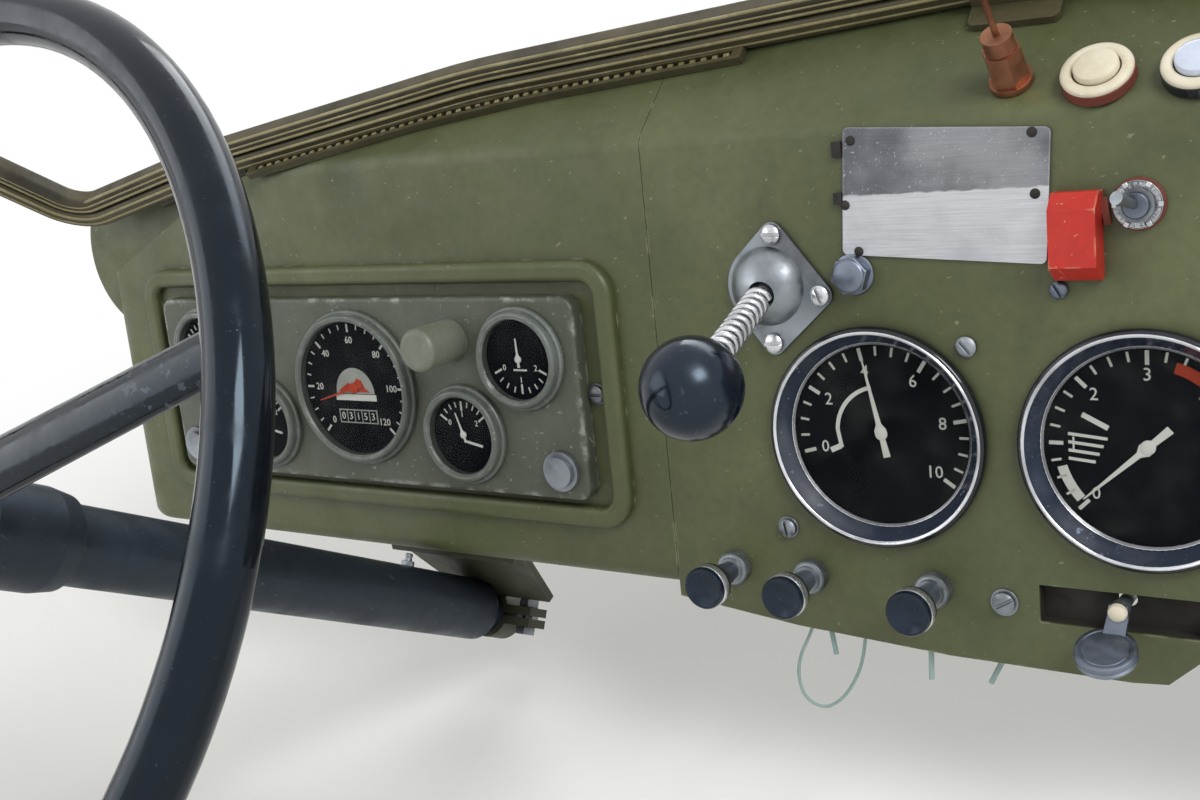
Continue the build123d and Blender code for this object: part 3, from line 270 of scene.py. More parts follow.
def rubber(name, base, dust, rough=0.7, seed=0.0):
    """Rubber or matt black with dust on its upper side."""
    base, dust = srgb(base), srgb(dust)
    f = Finish(name)
    colour = f.mix(f.clouds(22, 4, 0.4, 0.8, 0, 0.6, seed=seed), base, dust)
    colour = f.mix(f.times(f.upward(), f.clouds(9, 4, 0.3, 0.7), 0.6), colour, dust)
    roughness = f.clouds(90, 3, 0.3, 0.8, rough - 0.1, rough + 0.15)
    return f.end(colour, roughness, None, f.noise(520, 3), 0.2, 0.25)


def enamel(name, base, mottle, rough, dust=0.5, **constants):
    """Smooth printed or moulded surface with faint dust."""
    base, mottle = srgb(base), srgb(mottle)
    f = Finish(name, **constants)
    colour = f.mix(f.clouds(45, 4, 0.4, 0.75, 0, 0.6), base, mottle)
    colour = f.mix(f.clouds(600, 2, 0.68, 0.73, 0, dust), colour, toned(mottle, 2.2, 0.02))
    roughness = f.clouds(130, 3, 0.3, 0.8, rough, rough + 0.2)
    return f.end(colour, roughness, None, f.noise(700), 0.04, 0.1)


def glossy_black(name, base, worn, seed=0.0, wear=0.5, rough=0.1, rubbed=None, **constants):
    """Black enamel, handled smooth, with dull patches and pale nicks, more of them near rubbed."""
    base, worn = srgb(base), srgb(worn)
    f = Finish(name, **constants)
    colour = f.mix(f.clouds(16, 4, 0.5, 0.8, 0, 0.35, seed=seed), base, worn)
    nicked = f.clouds(7, 2, 0.5, 0.6, seed=seed)
    nicks = f.times(f.clouds(150, 3, 0.66, 0.69, seed=seed + 2), nicked)
    if rubbed:
        joint, reach = rubbed
        near = f.step(f.away(joint), reach, 0.2 * reach)
        nicks = f.most(nicks, f.times(near, f.clouds(170, 5, 0.6, 0.64, seed=seed + 5)))
    marks = f.most(nicks, f.times(f.scratches(wear, seed, 14), 0.5))
    colour = f.mix(f.times(marks, 0.7), colour, toned(worn, 3, 0.05))
    roughness = f.clouds(50, 4, 0.35, 0.8, rough, rough + 0.25, seed=seed + 3)
    height = f.math("SUBTRACT", f.times(f.noise(30), 0.6), marks)
    return f.end(colour, roughness, None, height, 0.18, 0.25)


def brushed_plate(name, bare, dull, print_ground, middle):
    """Bare plate brushed across, its upper half once dark, with rubbed edges and stains."""
    bare, dull, print_ground = srgb(bare), srgb(dull), srgb(print_ground)
    f = Finish(name, Metallic=0.75)
    grain = f.noise(34, 3, (1, 60, 60))
    colour = f.mix(f.step(grain, 0.3, 0.7, 0, 0.5), bare, dull)
    colour = f.mix(f.clouds(24, 5, 0.5, 0.75, 0, 0.6, seed=8), colour, dull)
    offset = f.vectors("SUBTRACT", f.place, tuple(middle))[0]
    level = f.vectors("DOT_PRODUCT", offset, tuple(FACE.col[1].xyz.normalized() / MM))["Value"]
    ragged = f.math("ADD", level, f.times(f.noise(150, 5), 2.4))
    spots = f.clouds(300, 5, 0.66, 0.72, seed=2)
    rubbed = f.most(spots, f.edges(1.6), f.times(f.scratches(1, 1, 30), 0.6))
    ground = f.times(f.step(ragged, 2, 3), f.step(rubbed, 0.2, 0.8, 1, 0.4))
    faded = f.clouds(18, 4, 0.35, 0.65, 0.6, 0.95, seed=6)
    colour = f.mix(f.times(ground, faded), colour, print_ground)
    lines = f.scratches(0.9, 5, 22)
    colour = f.mix(f.times(lines, 0.5), colour, toned(bare, 1.2))
    roughness = f.clouds(140, 4, 0.3, 0.8, 0.36, 0.6, stretch=(1, 9, 9))
    height = f.math("SUBTRACT", f.math("ADD", f.times(grain, 0.5), f.times(ground, 0.4)), lines)
    return f.end(colour, roughness, None, height, 0.14, 0.15)


def clear_glass(name, clean, dusty):
    """Thin cover glass with a veil of dust."""
    f = Finish(name, Alpha=0.1, shine=0.25, IOR=1.5)
    dust = f.clouds(60, 4, 0.45, 0.85)
    return f.end(f.mix(dust, srgb(clean), srgb(dusty)), f.step(dust, 0, 1, 0.1, 0.25))


plate_middle = FACE @ Vector((-25.5, 112, 0))
spoke_joint, joint_reach = (-0.215, -0.512, 0.16), 0.045
# Blue tint of the reflections on black paint, bakelite, wheel and ball: a painted sky reflection
sky_reflection_tint = (0.66, 0.83, 1, 1)

# Paint's colours are its base, faded, stained and worn-through tones, followed by wear and gloss
finishes = {
    "olive": painted("olive_paint", (80, 86, 54), (108, 112, 74), (56, 62, 38), (158, 160, 130), 0.4, 0.65),
    # The panel's wide edge mask makes its rounded edges pale: partly worn paint, partly a painted highlight
    # along them
    "panel": painted(
        "panel_paint", (76, 81, 68), (98, 104, 92), (60, 60, 46), (176, 180, 172), 0.8, 0.65,
        bare=0.3, corner_shade=0.4, seed=3, edge=(4, 0.01, 0.08),
    ),
    "rim": painted(
        "rim_metal", (92, 98, 92), (128, 136, 132), (66, 68, 58), (186, 192, 192), 1, 0.8,
        bare=0.8, seed=4,
    ),
    "rail": painted("rail_paint", (70, 66, 42), (96, 90, 62), (46, 43, 28), (122, 114, 84), seed=5),
    "lip": painted("rail_lip", (134, 125, 88), (164, 156, 118), (96, 88, 60), (186, 178, 142), seed=7),
    "column": painted(
        "black_paint", (34, 39, 47), (54, 61, 72), (21, 24, 30), (112, 118, 128), 0.6, 0.8,
        bare=0.4, seed=8, shine=0.4, tint=sky_reflection_tint,
    ),
    "clamp": painted("clamp_paint", (52, 54, 36), (72, 74, 50), (34, 34, 22), (126, 122, 98), 0.6, seed=9),
    "dark": rubber("slot_dark", (24, 22, 20), (54, 50, 40), 0.75, 4),
    "seal": rubber("seal_rubber", (50, 46, 34), (98, 91, 68)),
    "bakelite": enamel("bakelite", (16, 22, 33), (29, 38, 54), 0.2, shine=0.45, tint=sky_reflection_tint),
    "dial": enamel("dial_black", (12, 14, 18), (20, 22, 25), 0.8, 0.15, shine=0.05),
    "marks": enamel("mark_white", (230, 232, 224), (204, 206, 196), 0.5, shine=0.1),
    "orange": enamel("mark_orange", (196, 74, 46), (168, 58, 38), 0.5, shine=0.1),
    "pale_grey": enamel("window_grey", (176, 180, 172), (150, 154, 146), 0.5, shine=0.1),
    # The wheel's and the ball's blue-black: black enamel with a painted sky reflection mixed in
    "wheel": glossy_black(
        "wheel_black", (10, 14, 21), (24, 31, 42), rubbed=(spoke_joint, joint_reach),
        shine=0.32, tint=sky_reflection_tint,
    ),
    "ball": glossy_black("ball_black", (16, 21, 33), (32, 40, 58), 4, 0.7, 0.12, shine=0.5, tint=sky_reflection_tint),
    "bezel": glossy_black("bezel_black", (18, 21, 28), (48, 52, 62), 9, 0.6, shine=0.5),
    # The bevel's blue-grey is a painted sky reflection on dark glossy metal
    "bevel": glossy_black("bevel_painted_sky", (40, 48, 64), (74, 84, 104), 6, 0.4, 0.16, shine=0.9),
    "steel": metal("plain_steel", (150, 156, 162), (104, 108, 112), 0.3),
    "bright": metal("bright_metal", (218, 220, 224), (172, 176, 180), 0.16, 2),
    "blued": metal("blued_steel", (124, 132, 146), (86, 93, 104), 0.3, 12),
    "plate": brushed_plate("plate_metal", (206, 208, 212), (166, 169, 174), (88, 90, 96), plate_middle),
    "red": painted(
        "guard_red", (190, 40, 30), (212, 92, 58), (140, 26, 22), (226, 176, 140), 0.5, 0.85, seed=2
    ),
    "brown": enamel("fibre_brown", (112, 52, 38), (84, 40, 30), 0.6),
    "copper": metal("valve_copper", (158, 110, 84), (98, 62, 46), 0.36, 7),
    "white": enamel("lamp_white", (226, 218, 196), (196, 184, 156), 0.4),
    "lens": enamel("lamp_lens", (206, 216, 232), (170, 184, 206), 0.2, coat=0.6),
    "hood": painted(
        "hood_paint", (118, 124, 110), (150, 156, 144), (84, 84, 66), (190, 194, 186), 0.4, 0.7, seed=6
    ),
    "wire": enamel("wire_pale", (150, 172, 168), (112, 134, 130), 0.5),
    "glass": clear_glass("gauge_glass", (20, 24, 30), (96, 98, 92)),
}

# Finish of each CAD node
node_finish = {
    "olive": ["dash_left", "dash_centre", "dash_right", "end_bracket_left", "end_bracket_right",
              "glovebox_bin", "glovebox_lid", "glovebox_hinge"],
    "clamp": ["column_clamp"],
    "dark": ["heater_slide"],
    "rail": ["windscreen_rail", "pillar_foot", "defroster_strips"],
    "seal": ["windscreen_seal"],
    "panel": ["cluster_panel"],
    "rim": ["small_gauge_cases", "speedometer_case"],
    "bezel": ["pressure_gauge_cases"],
    "dial": ["speedometer_dial", "small_gauge_dials", "pressure_gauge_dials"],
    "glass": ["speedometer_glass", "small_gauge_glasses", "pressure_gauge_glasses"],
    "hood": ["lamp_hood"],
    "steel": ["lever_socket", "cluster_buttons", "toggle_switch", "heater_lever", "steering_shaft",
              "lid_latch"],
    "plate": ["data_plate"],
    "red": ["switch_guard"],
    "column": ["column_tube", "column_collar", "grab_handle", "horn_button"],
    "wheel": ["wheel_rim", "wheel_spokes"],
    "bakelite": ["pull_knobs", "ball_lever"],
    "copper": ["shelf_valve"],
    "white": ["shelf_lamps"],
    "marks": ["gauge_needles"],
    "wire": ["wire_loop"],
}
for finish, names in node_finish.items():
    for name in names:
        nodes[name].data.materials.clear()
        nodes[name].data.materials.append(finishes[finish])


# Outlines
def arc(radius, start, end, steps):
    """Points from one angle to another, in degrees."""
    turns = [math.radians(start + (end - start) * i / steps) for i in range(steps + 1)]
    return [(radius * math.cos(a), radius * math.sin(a)) for a in turns]


def circle(radius, sides):
    return arc(radius, 0, 360, sides)[:-1]


def hexagon(across):
    return circle(across / math.sqrt(3), 6)


def rectangle(left, bottom, right, top):
    return [(left, bottom), (right, bottom), (right, top), (left, top)]


def carried(line, side):
    """Each point of a line, with its side carried along it and the direction square to both."""
    for i, point in enumerate(line):
        ahead = (line[min(i + 1, len(line) - 1)] - line[max(i - 1, 0)]).normalized()
        side = (side - ahead * side.dot(ahead)).normalized()
        yield point, side, ahead.cross(side)


# Pieces
class Piece:
    """A mesh put together in millimetres, one form after another, each in its own place."""

    band_step = 3.0

    def __init__(self, name, finish, body="dash"):
        self.name = name
        self.body = body
        self.mesh = bmesh.new()
        self.finishes = [finish]
        self.current = 0

    def use(self, finish):
        """Finish of the forms that follow."""
        if finish not in self.finishes:
            self.finishes.append(finish)
        self.current = self.finishes.index(finish)

    def face(self, corners):
        made = self.mesh.faces.new(corners)
        made.material_index = self.current
        made.smooth = True

    def ring(self, place, points):
        return [self.mesh.verts.new(place @ Vector(point)) for point in points]

    def loft(self, rings, closed=False):
        """Walls from ring to ring, all of as many points or of one, where a wall closes to a cone."""
        for low, high in zip(rings, rings[1:]):
            count = max(len(low), len(high))
            for i in range(count):
                j = (i + 1) % count
                corners = [low[i % len(low)], low[j % len(low)], high[j % len(high)], high[i % len(high)]]
                corners = list(dict.fromkeys(corners))
                if len(corners) > 2:
                    self.face(corners)
        if closed:
            self.face(rings[-1])
            self.face(rings[0][::-1])

    def lathe(self, place, profile, sides):
        """Turned form; profile is radius and height, from the bottom to the top."""
        rings = []
        for radius, height in profile:
            outline = circle(radius, sides) if radius else [(0, 0)]
            rings.append(self.ring(place, [(x, y, height) for x, y in outline]))
        self.loft(rings)

    def turned(self, place, parts):
        """Turned forms, each with its finish, its number of sides and its profile."""
        for finish, sides, profile in parts:
            self.use(finish)
            self.lathe(place, profile, sides)

    def disc(self, place, radius, low, high, sides):
        self.lathe(place, [(0, low), (radius, low), (radius, high), (0, high)], sides)

    def prism(self, place, outline, low, high):
        """Outline pushed from low to high."""
        self.loft([self.ring(place, [(x, y, z) for x, y in outline]) for z in (low, high)], closed=True)

    def tube(self, points, radius, sides):
        """Round bar along points in metres."""
        rings = []
        first_side = (points[1] - points[0]).normalized().orthogonal()
        for point, side, other in carried(points, first_side):
            corners = [point + (side * x + other * y) * radius * MM for x, y in circle(1.0, sides)]
            rings.append(self.ring(Matrix(), corners))
        self.loft(rings, closed=True)

    def arc_band(self, place, inner, outer, start, end, high=mark_lift):
        """Flat band of a ring between two angles in degrees."""
        steps = max(1, int(abs(end - start) / self.band_step))
        self.prism(place, arc(outer, start, end, steps) + arc(inner, start, end, steps)[::-1], 0.0, high)

    def bar(self, place, length, width, start=0.0, low=0.0, high=mark_lift):
        """Flat bar along local x from start."""
        self.prism(place, rectangle(start, -width / 2, start + length, width / 2), low, high)

    def number(self, place, text, size, high=mark_lift):
        """Upright digits centred on the place."""
        curve = bpy.data.curves.new("digits", "FONT")
        curve.body = str(text)
        curve.size = size
        curve.align_x = curve.align_y = "CENTER"
        curve.extrude = high / 2
        curve.resolution_u = 2
        holder = bpy.data.objects.new("digits", curve)
        mesh = bpy.data.meshes.new_from_object(holder)
        mesh.transform(place @ Matrix.Translation((0, 0, high / 2)))
        before = len(self.mesh.faces)
        self.mesh.from_mesh(mesh)
        self.mesh.faces.ensure_lookup_table()
        for made in self.mesh.faces[before:]:
            made.material_index = self.current
        bpy.data.objects.remove(holder)
        bpy.data.meshes.remove(mesh)

    def done(self, bevel=0.0, angle=35.0, replaces=()):
        """Make the object, soften its edges and hang it on its body."""
        bmesh.ops.recalc_face_normals(self.mesh, faces=self.mesh.faces)
        mesh = bpy.data.meshes.new(self.name)
        self.mesh.to_mesh(mesh)
        self.mesh.free()
        mesh.set_sharp_from_angle(angle=math.radians(angle))
        for finish in self.finishes:
            mesh.materials.append(finishes[finish])
        made = placed(self.name, mesh)
        if bevel:
            modifier = made.modifiers.new("edges", "BEVEL")
            modifier.width = bevel * MM
            modifier.segments = 2
            modifier.limit_method = "ANGLE"
            modifier.angle_limit = math.radians(angle)
        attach(made, self.body)
        if replaces:
            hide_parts(*replaces)


# Screws and bolts
def slotted_screw(piece, place, radius, height, slot_turn, washer=0.0):
    """Round-headed screw with a slot, on a washer if washer is more than 0."""
    base = 1.0 if washer else 0.0
    if washer:
        piece.disc(place, washer, 0.0, base, 28)
    slot = radius * 0.16
    top = base + height
    slot_floor = top - height * 0.42
    reach = math.degrees(math.asin(slot / radius))
    crown = [(1, slot_floor), (0.86, base + height * 0.78), (0.55, top)]
    for half_turn in (0, 180):
        half = shifted(place, turn=slot_turn + half_turn)
        rings = []
        for share, level in crown:
            outline = arc(radius * share, 90 - reach, reach - 90, 10)
            rings.append(piece.ring(half, [(max(x, slot), y, level) for x, y in outline]))
        for low, high in zip(rings, rings[1:]):
            for i in range(len(low) - 1):
                piece.face([low[i], low[i + 1], high[i + 1], high[i]])
        piece.face(rings[-1])
        piece.face([ring[0] for ring in rings] + [ring[-1] for ring in rings[::-1]])
    shank = [(0, base), (radius * 0.94, base), (radius, base + 0.6), (radius, slot_floor), (0, slot_floor)]
    piece.lathe(place, shank, 28)


def screw_set(name, finish, screws, height, lift=0.0, bevel=0.25, body="dash"):
    """Screws in the face, each given by x, height, radius, slot turn and washer radius."""
    piece = Piece(name, finish, body)
    for x, v, radius, turn, washer in screws:
        slotted_screw(piece, shifted(FACE, x, v, lift), radius, height, turn, washer)
    piece.done(bevel)


face_screws = [
    (-244, 3, 5.2, 88, 6.6),
    (-618, 3, 5.2, 70, 6.6),
    (244, 3, 5.2, 95, 6.6),
    (618, 3, 5.2, 62, 6.6),
    (-17, 35, 5.4, 40, 0),
    (-124, -69.6, 5.2, 10, 6.4),
    (-3, -99.5, 5.8, 120, 7.4),
    (124, -69.6, 5.2, 75, 6.4),
]
socket_screws = [(-120, 95, 5.4, 85, 0), (-123, 36, 5.4, 95, 0), (-94, 62, 5.4, 20, 0)]
face_screw_height, socket_screw_height, socket_flange = 3.4, 3.8, 2.3
screw_set("face_screws", "steel", face_screws, face_screw_height)
screw_set("socket_screws", "bright", socket_screws, socket_screw_height, socket_flange)

bolt = Piece("face_bolt", "blued")
bolt_place = shifted(FACE, -75.0, 72.7)
bolt_turn, bolt_across = 12.0, 18.0
bolt.lathe(bolt_place, [(0, 0), (11.2, 0), (11.2, 1.2), (10.6, 1.6), (0, 1.6)], 36)
bolt.prism(shifted(bolt_place, turn=bolt_turn), hexagon(bolt_across), 1.6, 8.0)
bolt.lathe(bolt_place, [(0, 7.8), (8.8, 7.8), (8.4, 8.8), (6, 9.8), (0, 10.2)], 36)
bolt.done(0.6)


# Gauges
def ticks(piece, place, sweep, radius, steps, every, long, short, width):
    """Scale over a sweep of degrees; the first of every so many ticks is longer and wider."""
    first, last = sweep
    for i in range(steps + 1):
        major = i % every == 0
        length = long if major else short
        tick = shifted(place, turn=first + (last - first) * i / steps)
        piece.bar(tick, length, width * (1.6 if major else 1.0), radius - length)


def numerals(piece, place, sweep, radius, numbers, size):
    for number, (x, y) in zip(numbers, arc(radius, *sweep, len(numbers) - 1)):
        piece.number(shifted(place, x, y), number, size)


def pointer(piece, place, turn, length, tail, width, hub, lift):
    """Tapered needle with a hub and a tail."""
    needle = shifted(place, z=lift, turn=turn)
    edge = [(-tail, width * 0.56), (-hub * 0.4, width * 0.42), (hub * 0.6, width)]
    edge += [(hub * 1.6, width * 0.4), (length, 0.35)]
    piece.prism(needle, edge + [(x, -y) for x, y in reversed(edge)], 0, 0.5)
    piece.lathe(needle, [(0, -0.4), (hub, -0.4), (hub, 0.7), (hub * 0.7, 1), (0, 1.1)], 24)


# Pressure gauges: scale, numerals and white strokes and arcs beside the needle's hub
pressure_scale = 47.5
left_dial, right_dial = [shifted(FACE, x, v, pressure_level) for x, v in pressure_places]
left_sweep, right_sweep = (195, -35), (225, -45)
marks = Piece("pressure_marks_left", "marks")
ticks(marks, left_dial, left_sweep, pressure_scale, 20, 4, 7, 5, 1.25)
numerals(marks, left_dial, left_sweep, 34.5, range(0, 11, 2), 9.5)
marks.arc_band(left_dial, 24.4, 26.6, 101, 178)
marks.bar(shifted(left_dial, -25.4, 1, turn=-80), 10, 2.2)
marks.bar(shifted(left_dial, -24.2, -8, turn=205), 6.5, 3)
marks.done()
marks = Piece("pressure_marks_right", "marks")
ticks(marks, right_dial, right_sweep, pressure_scale, 24, 4, 7, 5, 1.2)
numerals(marks, right_dial, right_sweep, 35.5, range(7), 9)
marks.bar(shifted(right_dial, -31, 15, turn=-28), 14, 2.6)
for line in range(4):
    marks.bar(shifted(right_dial, -38, 5 - 4.2 * line, turn=-6), 19 - 2 * line, 1.5)
marks.arc_band(right_dial, 40.5, 45.5, 196, 221)
marks.use("orange")
marks.arc_band(right_dial, 38.5, 44, 45, 72, mark_lift * 1.2)
marks.done()
needles = Piece("pressure_needles", "marks")
pointer(needles, left_dial, 102, 42, 13, 3.6, 3.4, 1.1)
pointer(needles, right_dial, 222, 42, 14, 3.8, 3.6, 1.1)
needles.done(0.12, replaces=["gauge_needles"])

# Small gauges: needle's angle and length, scale's sweep
small_gauges = [
    (92, 13, (205, 335)),
    (108, 15, (145, 35)),
    (60, 15, (145, 35)),
    (75, 14, (145, 35)),
]
marks = Piece("small_gauge_marks", "marks")
needles = Piece("small_needles", "marks")
small_dials = [shifted(FACE, x, v, small_level) for x, v in small_places]
for dial, (turn, length, sweep) in zip(small_dials, small_gauges):
    ticks(marks, dial, sweep, 21.5, 8, 4, 6, 3.6, 0.8)
    numerals(marks, dial, sweep, 13, range(3), 5.2)
    pointer(needles, dial, turn, length, 5, 1.6, 2.2, 1.1)
marks.bar(shifted(small_dials[0], -5, -6.8), 10, 1.1)
for dial in small_dials[1:]:
    marks.bar(shifted(dial, 1, -4.5, turn=-12), 13, 1.6)
marks.done()
needles.done(0.1)

# Speedometer: dome-shaped lamp window with its red field, bar and counter
dial = shifted(FACE, *speedometer_place, small_level)
speed_sweep = (225, -45)
marks = Piece("speedometer_marks", "marks")
ticks(marks, dial, speed_sweep, 43, 24, 4, 5.5, 3.4, 0.9)
numerals(marks, dial, speed_sweep, 32, range(0, 121, 20), 6.6)
marks.use("pale_grey")
window = shifted(dial, 0, -4)
window_width, window_height = 17, 17.5
dome = [(window_width * x, window_height * y) for x, y in arc(1, 0, 180, 18)]
marks.prism(window, dome, 0, mark_lift)
marks.use("marks")
marks.bar(shifted(window, -18, -2.6), 36, 4.2)
marks.use("orange")
red_field = [(13, 1.2), (8.5, 4.2), (6.5, 9), (2.5, 10.6), (-1, 6), (-6, 7.2), (-10.5, 4.4), (-15, 1.2)]
marks.prism(window, red_field, mark_lift, mark_lift * 1.8)
marks.use("pale_grey")
counter = shifted(dial, 0, -19.5)
counter_width, counter_height, cell_pitch, cell_width = 34, 9.4, 6.6, 5.7
marks.bar(counter, counter_width, counter_height, -counter_width / 2)
for cell, digit in enumerate([0, 3, 1, 5, 3]):
    spot = shifted(counter, (cell - 2) * cell_pitch)
    marks.use("dial")
    marks.bar(spot, cell_width, 7.8, -cell_width / 2, high=mark_lift * 1.4)
    marks.use("marks")
    marks.number(spot, digit, 7, mark_lift * 2)
marks.done()
needles = Piece("speedometer_needle", "orange")
pointer(needles, dial, 196, 33, 8, 2.2, 3.6, 1.3)
needles.done(0.1)

# Panel gauges' rims
small_rim, speedometer_rim, rim_wall = 32.0, 52.0, 7.0
outer_ring = [(-0.2, -7.6), (0.3, -6.2), (-0.3, -4.6), (-1.3, -4.1), (-2.1, -4.5)]
inner_ring = [(-2.4, -4.4), (-2.4, -1.4), (-3.1, -0.1), (-4.3, 0.4), (-5.4, 0)]
rim_lip = [(0.5 - rim_wall, -1.2), (-0.3 - rim_wall, -3.6), (-0.3 - rim_wall, -5.2)]


def bezel(piece, place, radius):
    """Two rounded rings on a gauge's rim, a low wide one outside a high narrow one."""
    steps = outer_ring + inner_ring + rim_lip
    piece.lathe(place, [(radius + across, small_front + up) for across, up in steps], 72)


rims = Piece("small_bezels", "rim")
for x, v in small_places:
    bezel(rims, shifted(FACE, x, v), small_rim)
bezel(rims, shifted(FACE, *speedometer_place), speedometer_rim)
rims.done(angle=60)

# Pressure gauges' rims: black lip, bright rings, and a wide bevel down to the glass, its blue a painted sky
# reflection
pressure_rim = [
    ("bezel", 96, [(59.6, 0.4), (60.2, 3.4), (59.8, 5.2), (58.8, 6.3), (57.9, 6.5)]),
    ("bright", 96, [(57.9, 6.5), (57.4, 6.9), (56.6, 6.7), (56.1, 6.1)]),
    ("bevel", 96, [(56.1, 6.1), (55.2, 4.6), (53.6, 2.2), (51.6, -0.8), (50.6, -2.4)]),
    ("bright", 96, [(50.6, -2.4), (49.9, -2.9), (49.2, -3.4), (49.2, -4.2)]),
]
for side, (x, v) in zip(("left", "right"), pressure_places):
    rims = Piece("pressure_bezel_" + side, "bezel")
    rims.turned(shifted(FACE, x, v), pressure_rim)
    rims.done(angle=50)

# Ball lever: ball with a parting line, neck, rod and a coil spring of round wire
socket_centre = FACE @ Vector((-125.0, 67.0, 0.0))
ball_centre = FACE @ Vector((-106.0, 39.0, 122.0))
lever_turn = (ball_centre - socket_centre).to_track_quat("Z", "Y").to_matrix().to_4x4()
lever = Matrix.Translation(socket_centre) @ lever_turn @ Matrix.Scale(MM, 4)
ball_radius = 25.0
ball_height = (ball_centre - socket_centre).length / MM
groove_turn, groove_depth = -36, 0.45
ball = Piece("lever_ball", "ball")
profile = [(4.4, ball_height - 29.5), (6.2, ball_height - 28.8), (7.4, ball_height - 26.2)]
for turn in range(-72, 90, 6):
    radius = ball_radius - (groove_depth if turn == groove_turn else 0.0)
    angle = math.radians(turn)
    profile.append((radius * math.cos(angle), ball_height + radius * math.sin(angle)))
profile.append((0.0, ball_height + ball_radius))
ball.lathe(lever, profile, 64)
ball.done(angle=70, replaces=["ball_lever"])
rod = Piece("lever_rod", "steel")
rod.lathe(lever, [(0, -9), (9, -9), (11.6, -4), (11.6, 3), (7, 9), (4, 12)], 32)
rod.lathe(lever, [(4, 10), (4, ball_height - 20)], 20)
rod.done(angle=50)
spring_start, spring_end, spring_radius, spring_wire = 20.0, ball_height - 29.0, 5.7, 2.2
spring_turns, turn_steps = 11, 16
coil = []
for step in range(spring_turns * turn_steps + 1):
    turn = 2 * math.pi * step / turn_steps
    height = spring_start + (spring_end - spring_start) * step / (spring_turns * turn_steps)
    coil.append(lever @ Vector((spring_radius * math.cos(turn), spring_radius * math.sin(turn), height)))
spring = Piece("lever_spring", "bright")
spring.tube(coil, spring_wire, 8)
spring.done(angle=60)

# Pull knobs: knurled bush, neck, bright collar and black head
knob_level = -96.0
bush_knurls, bush_root, bush_radius = 72, 9.1, 9.6
knurls = zip(circle(bush_root, bush_knurls)[::2], circle(bush_radius, bush_knurls)[1::2])
bush_outline = [point for pair in knurls for point in pair]
knob_parts = [
    ("steel", 36, [(0, 0.1), (9.4, 0.1), (9.4, 0.8), (9, 0.9)]),
    ("steel", 36, [(9.2, 6.3), (8.8, 7.2), (7.4, 7.6), (7, 9.2), (5.2, 9.6), (0, 9.6)]),
    ("blued", 32, [(5.6, 9), (5.6, 14), (6.4, 15), (6.4, 27), (0, 27)]),
    ("bakelite", 40, [
        (0, 24.5), (6.9, 24.5), (7.4, 26.5), (10.8, 28.8), (11.8, 30.2), (11.8, 33.6), (0, 33.8),
    ]),
    ("bright", 40, [(0, 32), (11.9, 32), (12.3, 32.6), (12.3, 36.6), (11.9, 37.2), (0, 37.2)]),
    ("bakelite", 40, [
        (0, 37), (11.5, 37), (12, 37.7), (12, 39.7), (11.3, 40.8), (10.2, 41), (9.4, 40.5), (0, 40.2),
    ]),
]
knobs = Piece("knob_heads", "bakelite")
for x in (-159.0, -111.0, -40.0):
    place = shifted(FACE, x, knob_level)
    knobs.use("steel")
    knobs.prism(place, bush_outline, 0.8, 6.4)
    knobs.turned(place, knob_parts)
knobs.done(angle=40, replaces=["pull_knobs"])

# Heater lever: post in the slot with a cream top, a painted highlight on its metal dome, flat arm and round
# grip
grip_elevation = math.radians(82.0)
grip_out = (0, -math.cos(grip_elevation), math.sin(grip_elevation))
post_x, post_v = 56.0, -94.0
post = shifted(FACE, post_x, post_v)
heater = Piece("heater_grip", "steel")
heater.lathe(post, [(0, -24), (3.4, -24), (3.4, 2), (4.5, 3.2), (4.5, 8), (0, 8)], 24)
heater.use("blued")

# Sections of the arm: x, height, distance out of the face, half width
arm_sections = [
    (post_x, post_v + 3, 7.4, 4.6),
    (55.8, -96.5, 8.6, 5),
    (55, -101.5, 10, 5.2),
    (54, -108, 11.6, 5.6),
]
half_thick = 1.4
arm = []
for x, v, out, half in arm_sections:
    section = rectangle(x - half, out - half_thick, x + half, out + half_thick)
    arm.append(heater.ring(FACE, [(across, v, lift) for across, lift in section]))
heater.loft(arm, closed=True)
grip = local_frame(FACE @ Vector((52.5, -112.0, 20.0)) / MM, grip_out)
disc = [(0, -3.5), (13.4, -3.5), (14.7, -2.7), (15, -1.4), (14.2, -0.5), (14.2, 0.5), (15, 1.2), (15, 2.4)]
disc += [(14.6, 3.2), (13.8, 3.6), (12.6, 3.6), (12.2, 3.1), (11.6, 3.1), (11.2, 3.6), (0, 3.6)]
heater.lathe(grip, disc, 48)
# Cream top of the post: a painted highlight on its metal dome
heater.use("white")
heater.lathe(post, [(0, 9.6), (4.6, 9.6), (4.7, 11), (4, 12.6), (2.4, 13.6), (0, 13.9)], 24)
heater.done(angle=28, replaces=["heater_lever"])

# Toggle: fibre washer and its tab, notched ring nut and the collar of the switch's bat
toggle = shifted(FACE, 67.5, 103.0)
nut_teeth = 6
switch = Piece("toggle_details", "brown")
switch.disc(toggle, 12.4, 0.1, 0.9, 36)
switch.prism(shifted(toggle, -14.5, -2.0, turn=8.0), rectangle(-1.6, -7.0, 1.6, 6.0), 0.1, 3.6)
switch.use("bright")
switch.lathe(toggle, [(8.2, 3), (10.6, 3), (11.2, 3.5), (11.2, 0.9)], 36)
for tooth in range(nut_teeth):
    switch.prism(shifted(toggle, turn=360.0 * tooth / nut_teeth), rectangle(9.0, -1.2, 11.5, 1.2), 1.0, 3.9)
switch.use("blued")
switch.lathe(toggle, [(5.7, 5.6), (6.2, 6.2), (6.2, 7.6), (5.7, 8.4), (0, 8.4)], 28)
switch.done(0.25)

